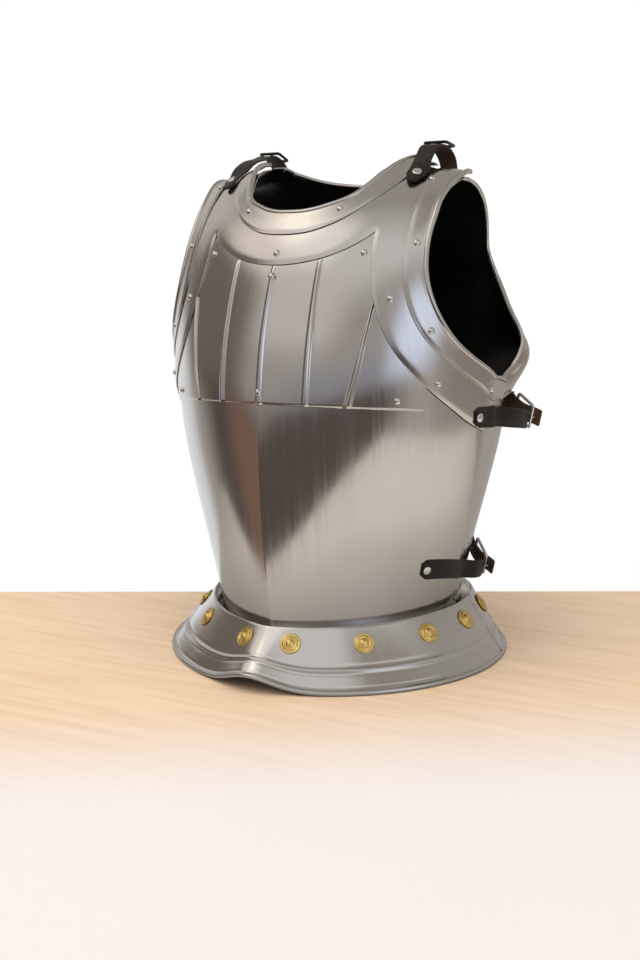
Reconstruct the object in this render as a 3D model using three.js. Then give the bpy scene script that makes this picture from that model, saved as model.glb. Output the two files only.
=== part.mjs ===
// Steel cuirass: a fluted breastplate and a backplate over a flared waist skirt, joined by leather straps.
// Millimetres, +Z up. The wearer faces -Y and the wearer's left is +X. The skirt stands on z = 0.
//
// The plates follow one torso surface. A place on it is [phi, z]: phi in degrees round the body from the
// middle of the chest (0) past the side (90) to the spine (180), and z the height. A height above
// SHOULDER_TOP carries on over the top of the shoulder and down the other side.
import * as THREE from 'three';

// ---------------------------------------------------------------- driving dimensions
const SHEET = 1.2; // thickness of every steel plate
const GAP = 0.9; // clear space between two plates that lie on each other
const SHOULDER_TOP = 521; // highest point of the torso surface
const WAIST_EDGE = 46; // lower edge of the two body plates
const SIDE_SEAM = 94; // phi where the breastplate ends, over the backplate
const BACK_EDGE = 88; // phi where the backplate begins, under the breastplate
const KEEL = { height: 2.4, spread: 15 }; // ridge down the middle of the breastplate
const LEATHER = 2.2; // thickness of the straps
const SLOPE = { drop: 34, from: 78, run: 60, spread: 4.2 }; // fall of the shoulder from neck to arm

// Layers of plate, as heights over the torso surface.
const LAYER = SHEET + GAP;
const CHEST = 0;
const BASE = CHEST - LAYER;
const YOKE = CHEST + LAYER;
const BANDS = YOKE + LAYER;
const BACK = BASE - LAYER - 0.8;

const STEEL = { color: 0xb9b4ad, roughness: 0.3, metalness: 1 };
const BRASS = { color: 0xc79a35, roughness: 0.3, metalness: 1 };
const HIDE = { color: 0x2a1c15, roughness: 0.6, metalness: 0 };
const CHROME = { color: 0xd6d6d6, roughness: 0.15, metalness: 1 };
const BLACK = { color: 0x161616, roughness: 0.3, metalness: 0 };

// Horizontal sections of the torso. Each half is a superellipse with its own depth and power.
const SECTIONS = [
  { z: 0, half_width: 126, front: 136, back: 96, centre: 10, front_power: 1.75, back_power: 2.7 },
  { z: 50, half_width: 135, front: 143, back: 102, centre: 10, front_power: 1.75, back_power: 2.7 },
  { z: 110, half_width: 148, front: 148, back: 115, centre: 9, front_power: 1.75, back_power: 2.7 },
  { z: 170, half_width: 163, front: 151.5, back: 130, centre: 8, front_power: 1.75, back_power: 2.8 },
  { z: 230, half_width: 176, front: 152.5, back: 143, centre: 9, front_power: 1.8, back_power: 2.9 },
  { z: 285, half_width: 181.5, front: 149.5, back: 149, centre: 10, front_power: 1.86, back_power: 3.0 },
  { z: 335, half_width: 182, front: 142.5, back: 150, centre: 12, front_power: 1.88, back_power: 3.0 },
  { z: 384, half_width: 180.5, front: 129.5, back: 143, centre: 15, front_power: 1.88, back_power: 2.9 },
  { z: 430, half_width: 176, front: 112.5, back: 124, centre: 20, front_power: 1.88, back_power: 2.8 },
  { z: 465, half_width: 169, front: 91, back: 99, centre: 26, front_power: 1.88, back_power: 2.75 },
  { z: 490, half_width: 162, front: 66, back: 69, centre: 32, front_power: 1.9, back_power: 2.7 },
  { z: 505, half_width: 156, front: 46, back: 48, centre: 36, front_power: 2.0, back_power: 2.6 },
  { z: 515, half_width: 151, front: 28, back: 30, centre: 39, front_power: 2.2, back_power: 2.45 },
  { z: 521, half_width: 148, front: 0, back: 0, centre: 41, front_power: 2.35, back_power: 2.35 },
];

// ---------------------------------------------------------------- torso surface
const smooth = (from, to, value) => THREE.MathUtils.smoothstep(value, from, to);
const bell = (distance, spread) => Math.exp(-((distance / spread) ** 2));

// The sections are read through the square root of the depth below the top, so the shoulder closes roundly.
const stations = SECTIONS.map((row) => ({ ...row, depth: Math.sqrt(SHOULDER_TOP - row.z) })).reverse();

function sectionValue(name, z) {
  const depth = Math.sqrt(Math.max(SHOULDER_TOP - z, 0));
  let i = 0;
  while (i < stations.length - 2 && depth > stations[i + 1].depth) {
    i += 1;
  }
  const slope = (a, b) => (stations[b][name] - stations[a][name]) / (stations[b].depth - stations[a].depth);
  const tangent = (k) => {
    if (k === 0) {
      return slope(0, 1);
    }
    if (k === stations.length - 1) {
      return slope(k - 1, k);
    }
    const before = stations[k].depth - stations[k - 1].depth;
    const after = stations[k + 1].depth - stations[k].depth;
    return (slope(k, k + 1) * before + slope(k - 1, k) * after) / (before + after);
  };
  const step = stations[i + 1].depth - stations[i].depth;
  const t = (depth - stations[i].depth) / step;
  const t2 = t * t;
  const t3 = t2 * t;
  return (2 * t3 - 3 * t2 + 1) * stations[i][name] + (t3 - 2 * t2 + t) * step * tangent(i)
    + (3 * t2 - 2 * t3) * stations[i + 1][name] + (t3 - t2) * step * tangent(i + 1);
}

// theta runs from the middle of the body (0) to its side (90); climb is the signed square root of the
// depth below the shoulder top, negative on the chest and positive on the back.
function surfacePoint(theta, climb) {
  if (theta > 90) {
    return surfacePoint(180 - theta, -climb);
  }
  const z = SHOULDER_TOP - climb * climb;
  const onChest = climb < 0;
  const power = sectionValue(onChest ? 'front_power' : 'back_power', z);
  const reach = onChest ? -sectionValue('front', z) : sectionValue('back', z);
  const angle = THREE.MathUtils.degToRad(theta);
  const across = Math.sign(Math.sin(angle)) * Math.abs(Math.sin(angle)) ** (2 / power);
  const along = Math.max(Math.cos(angle), 0) ** (2 / power);
  const x = sectionValue('half_width', z) * across;
  const keel = onChest ? KEEL.height * Math.exp(-Math.abs(x) / KEEL.spread) * (1 - smooth(210, 283, z)) : 0;
  const slope = SLOPE.drop * (1 - Math.exp(-Math.max(Math.abs(x) - SLOPE.from, 0) / SLOPE.run));
  const fall = slope * bell(climb, SLOPE.spread);
  return new THREE.Vector3(x, sectionValue('centre', z) + reach * along - keel, z - fall);
}

function coordinates([phi, z]) {
  const over = z > SHOULDER_TOP;
  const height = over ? 2 * SHOULDER_TOP - z : z;
  const around = over ? 180 - phi : phi;
  const climb = Math.sqrt(SHOULDER_TOP - height);
  return around <= 90 ? [around, -climb] : [180 - around, climb];
}

function surfaceNormal(place) {
  const [theta, climb] = coordinates(place);
  const around = surfacePoint(theta + 0.5, climb).sub(surfacePoint(Math.max(theta - 0.5, 0.02), climb));
  const up = surfacePoint(theta, climb + 0.06).sub(surfacePoint(theta, climb - 0.06));
  const normal = up.cross(around).normalize();
  if (theta < 0.01) {
    normal.setX(0).normalize();
  }
  const here = surfacePoint(theta, climb);
  const outward = new THREE.Vector3(here.x, here.y - 30, Math.max(here.z - 420, 0));
  return normal.dot(outward) < 0 ? normal.negate() : normal;
}

// The backplate swells out behind the armpit, to clear the arm.
function armpitSwell([phi, z]) {
  return 22 * bell(phi - 113, 25) * bell(z - 314, 34) * smooth(99, 114, phi);
}

function placeOn(place, height, side = 1) {
  const point = surfacePoint(...coordinates(place)).addScaledVector(surfaceNormal(place), height);
  point.x *= side;
  return point;
}

// ---------------------------------------------------------------- solids from grids
// A solid between an outer and an inner skin. Cells are quads of place keys, each with its two points.
function solidFromCells(cells) {
  const index = new Map();
  const positions = [];
  const add = (key, point) => {
    if (!index.has(key)) {
      index.set(key, positions.length / 3);
      positions.push(point.x, point.y, point.z);
    }
    return index.get(key);
  };
  const keyOf = (corner) => corner.outer.toArray().map((value) => value.toFixed(3)).join(' ');
  const triangles = [];
  const edges = new Map();
  for (const cell of cells) {
    const outer = cell.map((corner) => add(`o ${keyOf(corner)}`, corner.outer));
    const inner = cell.map((corner) => add(`i ${keyOf(corner)}`, corner.inner));
    triangles.push([outer[0], outer[1], outer[2]], [outer[0], outer[2], outer[3]]);
    triangles.push([inner[0], inner[2], inner[1]], [inner[0], inner[3], inner[2]]);
    for (let k = 0; k < 4; k += 1) {
      const next = (k + 1) % 4;
      const back = `${outer[next]} ${outer[k]}`;
      if (edges.has(back)) {
        edges.delete(back);
      } else {
        edges.set(`${outer[k]} ${outer[next]}`, [outer[k], outer[next], inner[k], inner[next]]);
      }
    }
  }
  for (const [outerA, outerB, innerA, innerB] of edges.values()) {
    triangles.push([outerA, innerA, innerB], [outerA, innerB, outerB]);
  }
  return geometryOf(positions, triangles.flat());
}

function geometryOf(positions, indices) {
  const geometry = new THREE.BufferGeometry();
  geometry.setAttribute('position', new THREE.Float32BufferAttribute(positions, 3));
  geometry.setIndex(indices);
  geometry.computeVertexNormals();
  return geometry;
}

// Rows of places between a left and a right outline, with `steps` cells from one to the other.
function fillRows(left, right, steps) {
  return left.map((start, row) => Array.from({ length: steps + 1 }, (_, k) => [
    THREE.MathUtils.lerp(start[0], right[row][0], k / steps),
    THREE.MathUtils.lerp(start[1], right[row][1], k / steps),
  ]));
}

// Cells of a plate `SHEET` thick on one side of the body. `height` is its underside over the torso
// surface, or a function of the place.
function plateCells(rows, height, side) {
  const heightAt = typeof height === 'function' ? height : () => height;
  const corners = rows.map((row) => row.map((place) => ({
    outer: placeOn(place, heightAt(place) + SHEET, side),
    inner: placeOn(place, heightAt(place), side),
  })));
  const cells = [];
  for (let r = 0; r < corners.length - 1; r += 1) {
    for (let c = 0; c < corners[r].length - 1; c += 1) {
      const cell = [corners[r][c], corners[r][c + 1], corners[r + 1][c + 1], corners[r + 1][c]];
      const across = cell[1].outer.clone().sub(cell[0].outer);
      const up = cell[3].outer.clone().sub(cell[0].outer);
      const out = cell[0].outer.clone().sub(cell[0].inner);
      cells.push(across.cross(up).dot(out) < 0 ? cell.reverse() : cell);
    }
  }
  return cells;
}

const plateOnBothSides = (patches, height) => solidFromCells(
  patches.flatMap((rows) => [...plateCells(rows, height, 1), ...plateCells(rows, height, -1)]),
);
const plateOnOneSide = (rows, height, side) => solidFromCells(plateCells(rows, height, side));

// A tube-like solid: the same closed outline at every station, capped at both ends.
function solidFromOutlines(outlines) {
  const count = outlines[0].length;
  const positions = outlines.flat().flatMap((point) => point.toArray());
  const indices = [];
  for (let s = 0; s < outlines.length - 1; s += 1) {
    for (let k = 0; k < count; k += 1) {
      const a = s * count + k;
      const b = s * count + ((k + 1) % count);
      indices.push(a, b, b + count, a, b + count, a + count);
    }
  }
  const last = (outlines.length - 1) * count;
  const flat = THREE.ShapeUtils.triangulateShape(flatten(outlines[0]), []);
  for (const [a, b, c] of flat) {
    indices.push(a, c, b, last + a, last + b, last + c);
  }
  const geometry = geometryOf(positions, indices);
  if (signedVolume(geometry) < 0) {
    for (let k = 0; k < indices.length; k += 3) {
      [indices[k], indices[k + 1]] = [indices[k + 1], indices[k]];
    }
    geometry.setIndex(indices);
  }
  return geometry;
}

// The outline's own plane as 2-D points, for its cap.
function flatten(outline) {
  const origin = outline[0];
  const normal = new THREE.Vector3();
  outline.forEach((point, k) => {
    const next = outline[(k + 1) % outline.length];
    normal.add(point.clone().sub(origin).cross(next.clone().sub(origin)));
  });
  normal.normalize();
  const right = outline[1].clone().sub(origin).normalize();
  const up = normal.clone().cross(right);
  return outline.map((point) => {
    const offset = point.clone().sub(origin);
    return new THREE.Vector2(offset.dot(right), offset.dot(up));
  });
}

function signedVolume(geometry) {
  const point = geometry.getAttribute('position');
  const index = geometry.getIndex().array;
  const [a, b, c] = [new THREE.Vector3(), new THREE.Vector3(), new THREE.Vector3()];
  let volume = 0;
  for (let k = 0; k < index.length; k += 3) {
    a.fromBufferAttribute(point, index[k]);
    b.fromBufferAttribute(point, index[k + 1]);
    c.fromBufferAttribute(point, index[k + 2]);
    volume += a.dot(b.cross(c)) / 6;
  }
  return volume;
}

// ---------------------------------------------------------------- the assembly
const cuirass = new THREE.Group();

function addPiece(name, geometry, finish) {
  const mesh = new THREE.Mesh(geometry, new THREE.MeshStandardMaterial(finish));
  mesh.name = name;
  cuirass.add(mesh);
  return mesh;
}

const SIDES = [{ word: 'left', sign: 1 }, { word: 'right', sign: -1 }];

// ---------------------------------------------------------------- breastplate
// Rows climb from the waist to the shoulder: along the middle of the chest and round the neck on one
// side, along the seam and round the armhole on the other.
const BREAST_ROWS = [
  { middle: [0, WAIST_EDGE], side: [SIDE_SEAM, WAIST_EDGE] },
  { middle: [0, 80], side: [SIDE_SEAM, 80] },
  { middle: [0, 115], side: [SIDE_SEAM, 115] },
  { middle: [0, 150], side: [SIDE_SEAM, 150] },
  { middle: [0, 185], side: [SIDE_SEAM, 185] },
  { middle: [0, 220], side: [SIDE_SEAM, 220] },
  { middle: [0, 262], side: [SIDE_SEAM, 258] },
  { middle: [0, 300], side: [SIDE_SEAM, 293] },
  { middle: [0, 325], side: [85, 307] },
  { middle: [0, 350], side: [71, 328] },
  { middle: [0, 378], side: [61.2, 355] },
  { middle: [0, 405], side: [55.6, 383] },
  { middle: [0, 428], side: [53, 409] },
  { middle: [0, 448], side: [53.4, 432] },
  { middle: [0, 465], side: [55, 453] },
  { middle: [10.6, 467.5], side: [56.5, 467] },
  { middle: [19.6, 475], side: [59.5, 481] },
  { middle: [26, 487], side: [63.5, 493] },
  { middle: [29, 497], side: [69.5, 504] },
  { middle: [31.5, 508], side: [75, 511] },
  { middle: [33, 516], side: [80, 517] },
  { middle: [33.5, SHOULDER_TOP], side: [83, SHOULDER_TOP] },
];
const BREAST_STEPS = 10;
const breastMiddle = BREAST_ROWS.map((row) => row.middle);
const breastSide = BREAST_ROWS.map((row) => row.side);
const breastRows = fillRows(breastMiddle, breastSide, BREAST_STEPS);
addPiece('breastplate', plateOnBothSides([breastRows], BASE), STEEL);

// ---------------------------------------------------------------- fluted chest plate
// Columns rise from the lower edge; that of each flute stands up from the sheet between two flat ones,
// as far as `crest`, the share of its height that shows below the yoke.
const FLUTE_RISE = 1.9;
const CHEST_COLUMNS = [
  { low: [0, 285], high: [0, 426], crest: 0.9 },
  { low: [1.4, 285], high: [1.4, 426], crest: 0 },
  { low: [8, 284.5], high: [8, 427.5], crest: 0 },
  { low: [15.7, 284], high: [15.7, 431.5], crest: 0 },
  { low: [16.9, 284], high: [16.9, 432], crest: 0.9 },
  { low: [18.1, 283.7], high: [18.1, 433], crest: 0 },
  { low: [24, 283], high: [27, 440], crest: 0 },
  { low: [27.4, 282.4], high: [34.4, 444], crest: 0 },
  { low: [29.2, 282], high: [36.4, 414], crest: 0 },
  { low: [30.3, 282], high: [37.4, 408], crest: 0.6 },
  { low: [31.4, 281.6], high: [38.3, 402], crest: 0 },
  { low: [38, 280], high: [42.5, 368], crest: 0 },
  { low: [46, 278], high: [48.5, 342], crest: 0 },
  { low: [55, 275], high: [56, 318], crest: 0 },
];
const CHEST_SHARES = [0, 0.15, 0.3, 0.45, 0.6, 0.75, 0.9, 0.95, 1];
const chestHeights = new Map();
const chestRows = CHEST_COLUMNS.map(({ low, high, crest }) => CHEST_SHARES.map((share) => {
  const place = [THREE.MathUtils.lerp(low[0], high[0], share), THREE.MathUtils.lerp(low[1], high[1], share)];
  chestHeights.set(place, CHEST + (share <= crest && crest > 0 ? FLUTE_RISE : 0));
  return place;
}));
addPiece('chest_plate', plateOnBothSides([chestRows], (place) => chestHeights.get(place)), STEEL);

// ---------------------------------------------------------------- yoke
// One plate over the chest plate. Its neck half runs from the chest to the shoulder, its arm half from
// the shoulder round the armhole to the side; they meet on a line up from the pointed corner.
const YOKE_NECK_ROWS = [
  { outer: [0, 417.4], inner: [0, 452] },
  { outer: [10, 419.3], inner: [9, 454] },
  { outer: [19.5, 425.5], inner: [16, 459] },
  { outer: [27, 434.5], inner: [22, 467] },
  { outer: [33.8, 446.7], inner: [27, 476] },
  { outer: [36.5, 463], inner: [30.5, 487] },
  { outer: [40, 480], inner: [34, 499] },
  { outer: [44, 496], inner: [38, 508] },
  { outer: [48, 509], inner: [41, 515] },
  { outer: [50, 517], inner: [42, 518.5] },
];
const YOKE_ARM_ROWS = [
  { outer: [50, 517], inner: [64, 514.5] },
  { outer: [48, 509], inner: [60, 508] },
  { outer: [44, 496], inner: [55.5, 498] },
  { outer: [40, 480], inner: [52, 483] },
  { outer: [36.5, 463], inner: [49.5, 464] },
  { outer: [33.8, 446.7], inner: [48, 440] },
  { outer: [33.9, 425], inner: [47.8, 420] },
  { outer: [34.7, 402], inner: [48.6, 400] },
  { outer: [36.3, 380], inner: [51, 378] },
  { outer: [39.4, 357], inner: [55, 358] },
  { outer: [44.7, 331.5], inner: [61, 339] },
  { outer: [51, 311], inner: [67.5, 324] },
  { outer: [55, 299.8], inner: [71, 317] },
  { outer: [59.2, 289.4], inner: [75, 310] },
  { outer: [66.5, 273.5], inner: [81, 300] },
  { outer: [75, 257.5], inner: [87, 291] },
  { outer: [86, 245.5], inner: [92, 283] },
  { outer: [93, 243], inner: [94, 278] },
];
const yokePatches = [YOKE_NECK_ROWS, YOKE_ARM_ROWS].map(
  (rows) => fillRows(rows.map((row) => row.outer), rows.map((row) => row.inner), 3),
);
addPiece('yoke', plateOnBothSides(yokePatches, YOKE), STEEL);

// ---------------------------------------------------------------- rolled bands
// Each band ends in a rolled rim, which stands up from the sheet along the opening.
const RIM_RISE = 2.2;
const NECK_BAND_ROWS = [
  { edge: [0, 445], rim: [0, 465] },
  { edge: [10, 447], rim: [10.6, 467.5] },
  { edge: [17.5, 453.5], rim: [19.3, 475.5] },
  { edge: [23.6, 462.5], rim: [25, 486] },
  { edge: [28.5, 471.5], rim: [27.5, 492] },
  { edge: [33, 481], rim: [29, 497.5] },
  { edge: [38, 493], rim: [30.8, 504] },
  { edge: [42, 505], rim: [32, 511] },
  { edge: [45, 515], rim: [33, 516.5] },
  { edge: [46, SHOULDER_TOP], rim: [33.5, SHOULDER_TOP] },
];
const ARM_BAND_ROWS = [
  { edge: [53, SHOULDER_TOP], rim: [83, SHOULDER_TOP] },
  { edge: [52, 514], rim: [80, 517] },
  { edge: [51, 506], rim: [74, 510] },
  { edge: [49.8, 496], rim: [68, 502] },
  { edge: [48.6, 484], rim: [62.5, 491] },
  { edge: [47.2, 468], rim: [58, 476] },
  { edge: [46, 451], rim: [55.8, 460] },
  { edge: [45.2, 432], rim: [53.8, 443] },
  { edge: [44.9, 410], rim: [52.9, 424] },
  { edge: [46.5, 385], rim: [53.6, 400] },
  { edge: [49.8, 363], rim: [56.6, 376] },
  { edge: [54.6, 343.5], rim: [61.2, 355] },
  { edge: [61, 326], rim: [67, 337] },
  { edge: [68.6, 310], rim: [75, 321] },
  { edge: [78, 294], rim: [84, 308] },
  { edge: [87, 279], rim: [90, 299] },
  { edge: [93.5, 270], rim: [94, 293] },
];
// Cells across a band: flat sheet, then the foot, crest and lip of the rolled rim.
const ACROSS_BAND = [
  { at: 0, rise: 0 },
  { at: 0.5, rise: 0 },
  { at: 0.84, rise: 0 },
  { at: 1, rise: RIM_RISE },
];

function bandRows(table) {
  const rises = new Map();
  const rows = table.map(({ edge, rim }) => ACROSS_BAND.map(({ at, rise }) => {
    const place = [THREE.MathUtils.lerp(edge[0], rim[0], at), THREE.MathUtils.lerp(edge[1], rim[1], at)];
    rises.set(place, rise);
    return place;
  }));
  return { rows, height: (place) => BANDS + rises.get(place) };
}

const neckBand = bandRows(NECK_BAND_ROWS);
addPiece('neck_band', plateOnBothSides([neckBand.rows], neckBand.height), STEEL);
for (const { word, sign } of SIDES) {
  const armBand = bandRows(ARM_BAND_ROWS);
  addPiece(`arm_band_${word}`, plateOnOneSide(armBand.rows, armBand.height, sign), STEEL);
}

// ---------------------------------------------------------------- backplate
const BACK_ROWS = [
  { middle: [180, WAIST_EDGE], side: [BACK_EDGE, WAIST_EDGE] },
  { middle: [180, 80], side: [BACK_EDGE, 80] },
  { middle: [180, 115], side: [BACK_EDGE, 115] },
  { middle: [180, 150], side: [BACK_EDGE, 150] },
  { middle: [180, 185], side: [BACK_EDGE, 185] },
  { middle: [180, 220], side: [BACK_EDGE, 220] },
  { middle: [180, 262], side: [BACK_EDGE, 258] },
  { middle: [180, 300], side: [BACK_EDGE, 283] },
  { middle: [180, 318], side: [97.5, 288] },
  { middle: [180, 336], side: [104, 300] },
  { middle: [180, 356], side: [108.5, 320] },
  { middle: [180, 380], side: [114, 347] },
  { middle: [180, 405], side: [124, 374] },
  { middle: [180, 430], side: [133, 400] },
  { middle: [180, 455], side: [136, 423] },
  { middle: [180, 477], side: [131, 446] },
  { middle: [180, 495], side: [123.5, 467.5] },
  { middle: [170, 500], side: [117.5, 485] },
  { middle: [160, 508], side: [115, 500] },
  { middle: [153, 515], side: [116, 510.5] },
  { middle: [151, 519.5], side: [119, 518] },
  { middle: [152, SHOULDER_TOP], side: [120, SHOULDER_TOP] },
  { middle: [152, 523], side: [122, 521.5] },
];
const BACK_STEPS = 9;
const backMiddle = BACK_ROWS.map((row) => row.middle);
const backSide = BACK_ROWS.map((row) => row.side);
const backRows = fillRows(backMiddle, backSide, BACK_STEPS);
addPiece('backplate', plateOnBothSides([backRows], (place) => BACK + armpitSwell(place)), STEEL);

// ---------------------------------------------------------------- waist skirt
const SKIRT = {
  top: 58, // height of the upper edge
  shelf: 47, // height of the inner lip that meets the body plates
  clearance: 6.5, // from the body plates to the upper edge
  half_width: 189,
  front: 173,
  back: 148,
  centre: -3,
  front_power: 1.9,
  back_power: 2.2,
  roll: 2.4, // half thickness of the rolled lower edge
  foot: 4, // width of the flat that the skirt stands on
  arch: { height: 15, reach: 7, spread: 37 }, // lift of the lower edge at the front
  bead: { at: 0.7, rise: 1.2 }, // raised line along the wall
};

function skirtFootPoint(phi) {
  const angle = THREE.MathUtils.degToRad(phi);
  const onChest = Math.cos(angle) > 0;
  const power = onChest ? SKIRT.front_power : SKIRT.back_power;
  const x = SKIRT.half_width * Math.sign(Math.sin(angle)) * Math.abs(Math.sin(angle)) ** (2 / power);
  const depth = Math.abs(Math.cos(angle)) ** (2 / power);
  const y = SKIRT.centre + (onChest ? -SKIRT.front : SKIRT.back) * depth;
  const lift = onChest ? bell(x, SKIRT.arch.spread) : 0;
  return new THREE.Vector3(x, y - SKIRT.arch.reach * lift, SKIRT.arch.height * lift);
}

const sidePlace = (phi, z) => [Math.abs(phi), z];
const sideSign = (phi) => (phi < 0 ? -1 : 1);
const bodyPoint = (phi, z, height) => placeOn(sidePlace(phi, z), height, sideSign(phi));

// Outer face of the skirt wall: `fall` is 0 at the upper edge and 1 at the rolled edge.
function skirtWallPoint(phi, fall, rise = 0) {
  const top = bodyPoint(phi, SKIRT.top, SHEET + SKIRT.clearance);
  top.z = SKIRT.top;
  const foot = skirtFootPoint(phi);
  foot.z += 2 * SKIRT.roll;
  const bend = top.clone().lerp(foot, 0.42);
  bend.z -= 3;
  const wall = new THREE.QuadraticBezierCurve3(top, bend, foot);
  const out = skirtOutward(top, foot);
  return wall.getPoint(fall).addScaledVector(out, rise);
}

function skirtOutward(top, foot) {
  const down = foot.clone().sub(top);
  const level = new THREE.Vector3(down.x, down.y, 0).normalize();
  const fall = down.normalize();
  return level.addScaledVector(fall, -level.dot(fall)).normalize();
}

function skirtOutline(phi) {
  const { bead, roll, foot, shelf } = SKIRT;
  const level = skirtFootPoint(phi).sub(skirtWallPoint(phi, 0)).setZ(0).normalize();
  const down = (fall, rise) => skirtWallPoint(phi, fall, rise);
  const base = skirtFootPoint(phi);
  const atFoot = (out, up) => base.clone().addScaledVector(level, out).add(new THREE.Vector3(0, 0, up));
  const plate = Math.abs(phi) < SIDE_SEAM + 10 ? BASE : BACK;
  const lip = bodyPoint(phi, shelf, plate + SHEET + 1.1);
  return [
    lip.clone().setZ(shelf),
    down(0, -SHEET).setZ(shelf),
    down(0, -SHEET),
    down(0, 0),
    down(0.3, 0),
    down(bead.at - 0.07, 0),
    down(bead.at, bead.rise),
    down(bead.at + 0.07, 0),
    down(0.95, 0),
    atFoot(roll, 2 * roll),
    atFoot(roll, roll),
    atFoot(foot / 2, 0),
    atFoot(-foot / 2, 0),
    atFoot(-roll, roll),
    down(0.93, -SHEET),
    down(0.5, -SHEET),
    down(0.22, -SHEET),
    lip.clone().setZ(shelf - SHEET),
  ];
}

const SKIRT_STEPS = 22;
const SKIRT_SEAM = 99; // phi of the joint between the halves
const SKIRT_JOINT = 0.2; // degrees left free on each side of that joint
const SKIRT_HALVES = [
  { name: 'skirt_front', from: -SKIRT_SEAM, to: SKIRT_SEAM },
  { name: 'skirt_back', from: SKIRT_SEAM, to: 360 - SKIRT_SEAM },
];
for (const { name, from, to } of SKIRT_HALVES) {
  const outlines = Array.from({ length: SKIRT_STEPS + 1 }, (_, k) => {
    const phi = THREE.MathUtils.lerp(from + SKIRT_JOINT, to - SKIRT_JOINT, k / SKIRT_STEPS);
    return skirtOutline(phi > 180 ? phi - 360 : phi);
  });
  addPiece(name, solidFromOutlines(outlines), STEEL);
}

// ---------------------------------------------------------------- rosettes and rivets
// A turned piece stands on a surface: its own axis is +Z, and it is turned to the outward direction.
function turnedPiece(name, profile, sides, finish, point, outward) {
  const outline = profile.map(([radius, height]) => new THREE.Vector2(radius, height));
  const geometry = new THREE.LatheGeometry(outline, sides);
  geometry.deleteAttribute('uv');
  geometry.rotateX(Math.PI / 2);
  const mesh = addPiece(name, geometry, finish);
  mesh.position.copy(point);
  mesh.quaternion.setFromUnitVectors(new THREE.Vector3(0, 0, 1), outward);
  return mesh;
}

const ROSETTE_PROFILE = [[0, 0], [11, 0], [11, 1], [8, 1.4], [5.5, 2.6], [0, 4.2]];
const ROSETTE_FALL = 0.3;
const ROSETTE_PHIS = [-165, -137, -112, -89, -67, -42, -10, 12.8, 39.5, 64.5, 87, 111, 137, 165];
let rosetteNumber = 0;
for (const phi of ROSETTE_PHIS) {
  rosetteNumber += 1;
  const above = skirtWallPoint(phi, ROSETTE_FALL - 0.05);
  const below = skirtWallPoint(phi, ROSETTE_FALL + 0.05);
  const ahead = skirtWallPoint(phi + 1, ROSETTE_FALL);
  const behind = skirtWallPoint(phi - 1, ROSETTE_FALL);
  const outward = ahead.sub(behind).cross(above.sub(below)).normalize();
  const middle = skirtWallPoint(phi, ROSETTE_FALL).addScaledVector(outward, GAP + 0.6);
  const name = `rosette_${String(rosetteNumber).padStart(2, '0')}`;
  turnedPiece(name, ROSETTE_PROFILE, 8, BRASS, middle, outward);
}

const RIVET_PROFILE = [[0, 0], [3.6, 0], [2.7, 1.7], [0, 2.5]];
const RIVETS = [
  { name: 'neck_rivet', phi: 19.6, z: 467, layer: BANDS, paired: true },
  { name: 'yoke_rivet', phi: 0, z: 428, layer: YOKE, paired: false },
  { name: 'ridge_rivet_upper', phi: 0, z: 406.5, layer: CHEST + FLUTE_RISE, paired: false },
  { name: 'ridge_rivet_lower', phi: 0, z: 296.5, layer: CHEST + FLUTE_RISE, paired: false },
  { name: 'chest_rivet_upper', phi: 31.2, z: 428, layer: CHEST, paired: true },
  { name: 'chest_rivet_lower', phi: 46, z: 287, layer: CHEST, paired: true },
  { name: 'yoke_rivet_upper', phi: 41.6, z: 384, layer: YOKE, paired: true },
  { name: 'yoke_rivet_lower', phi: 59.8, z: 301, layer: YOKE, paired: true },
  { name: 'arm_rivet_1', phi: 52.3, z: 497, layer: BANDS, paired: true },
  { name: 'arm_rivet_2', phi: 49.3, z: 434, layer: BANDS, paired: true },
  { name: 'arm_rivet_3', phi: 56, z: 352, layer: BANDS, paired: true },
  { name: 'arm_rivet_4', phi: 86.5, z: 288, layer: BANDS, paired: true },
];
for (const { name, phi, z, layer, paired } of RIVETS) {
  for (const { word, sign } of paired ? SIDES : [{ word: '', sign: 1 }]) {
    const outward = surfaceNormal([phi, z]);
    outward.x *= sign;
    const foot = placeOn([phi, z], layer + SHEET + GAP, sign);
    turnedPiece(word ? `${name}_${word}` : name, RIVET_PROFILE, 8, STEEL, foot, outward);
  }
}

// ---------------------------------------------------------------- straps
// A strip of leather through stations, each with its middle, the way across and the way out.
function strapSolid(stations, width, thickness = LEATHER) {
  return solidFromOutlines(stations.map(({ middle, across, out }) => [
    [-width / 2, 0],
    [width / 2, 0],
    [width / 2, thickness],
    [-width / 2, thickness],
  ].map(([sideways, up]) => middle.clone().addScaledVector(across, sideways).addScaledVector(out, up))));
}

const UP = new THREE.Vector3(0, 0, 1);
const mirrored = (vector, sign) => new THREE.Vector3(vector.x * sign, vector.y, vector.z);

// Stations of a side strap: first on the body, then along a free line of points. The strap lies on the
// slope of the body and turns over the first points of its free line until it lies across the buckle.
const TURNING_POINTS = 3;

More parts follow.
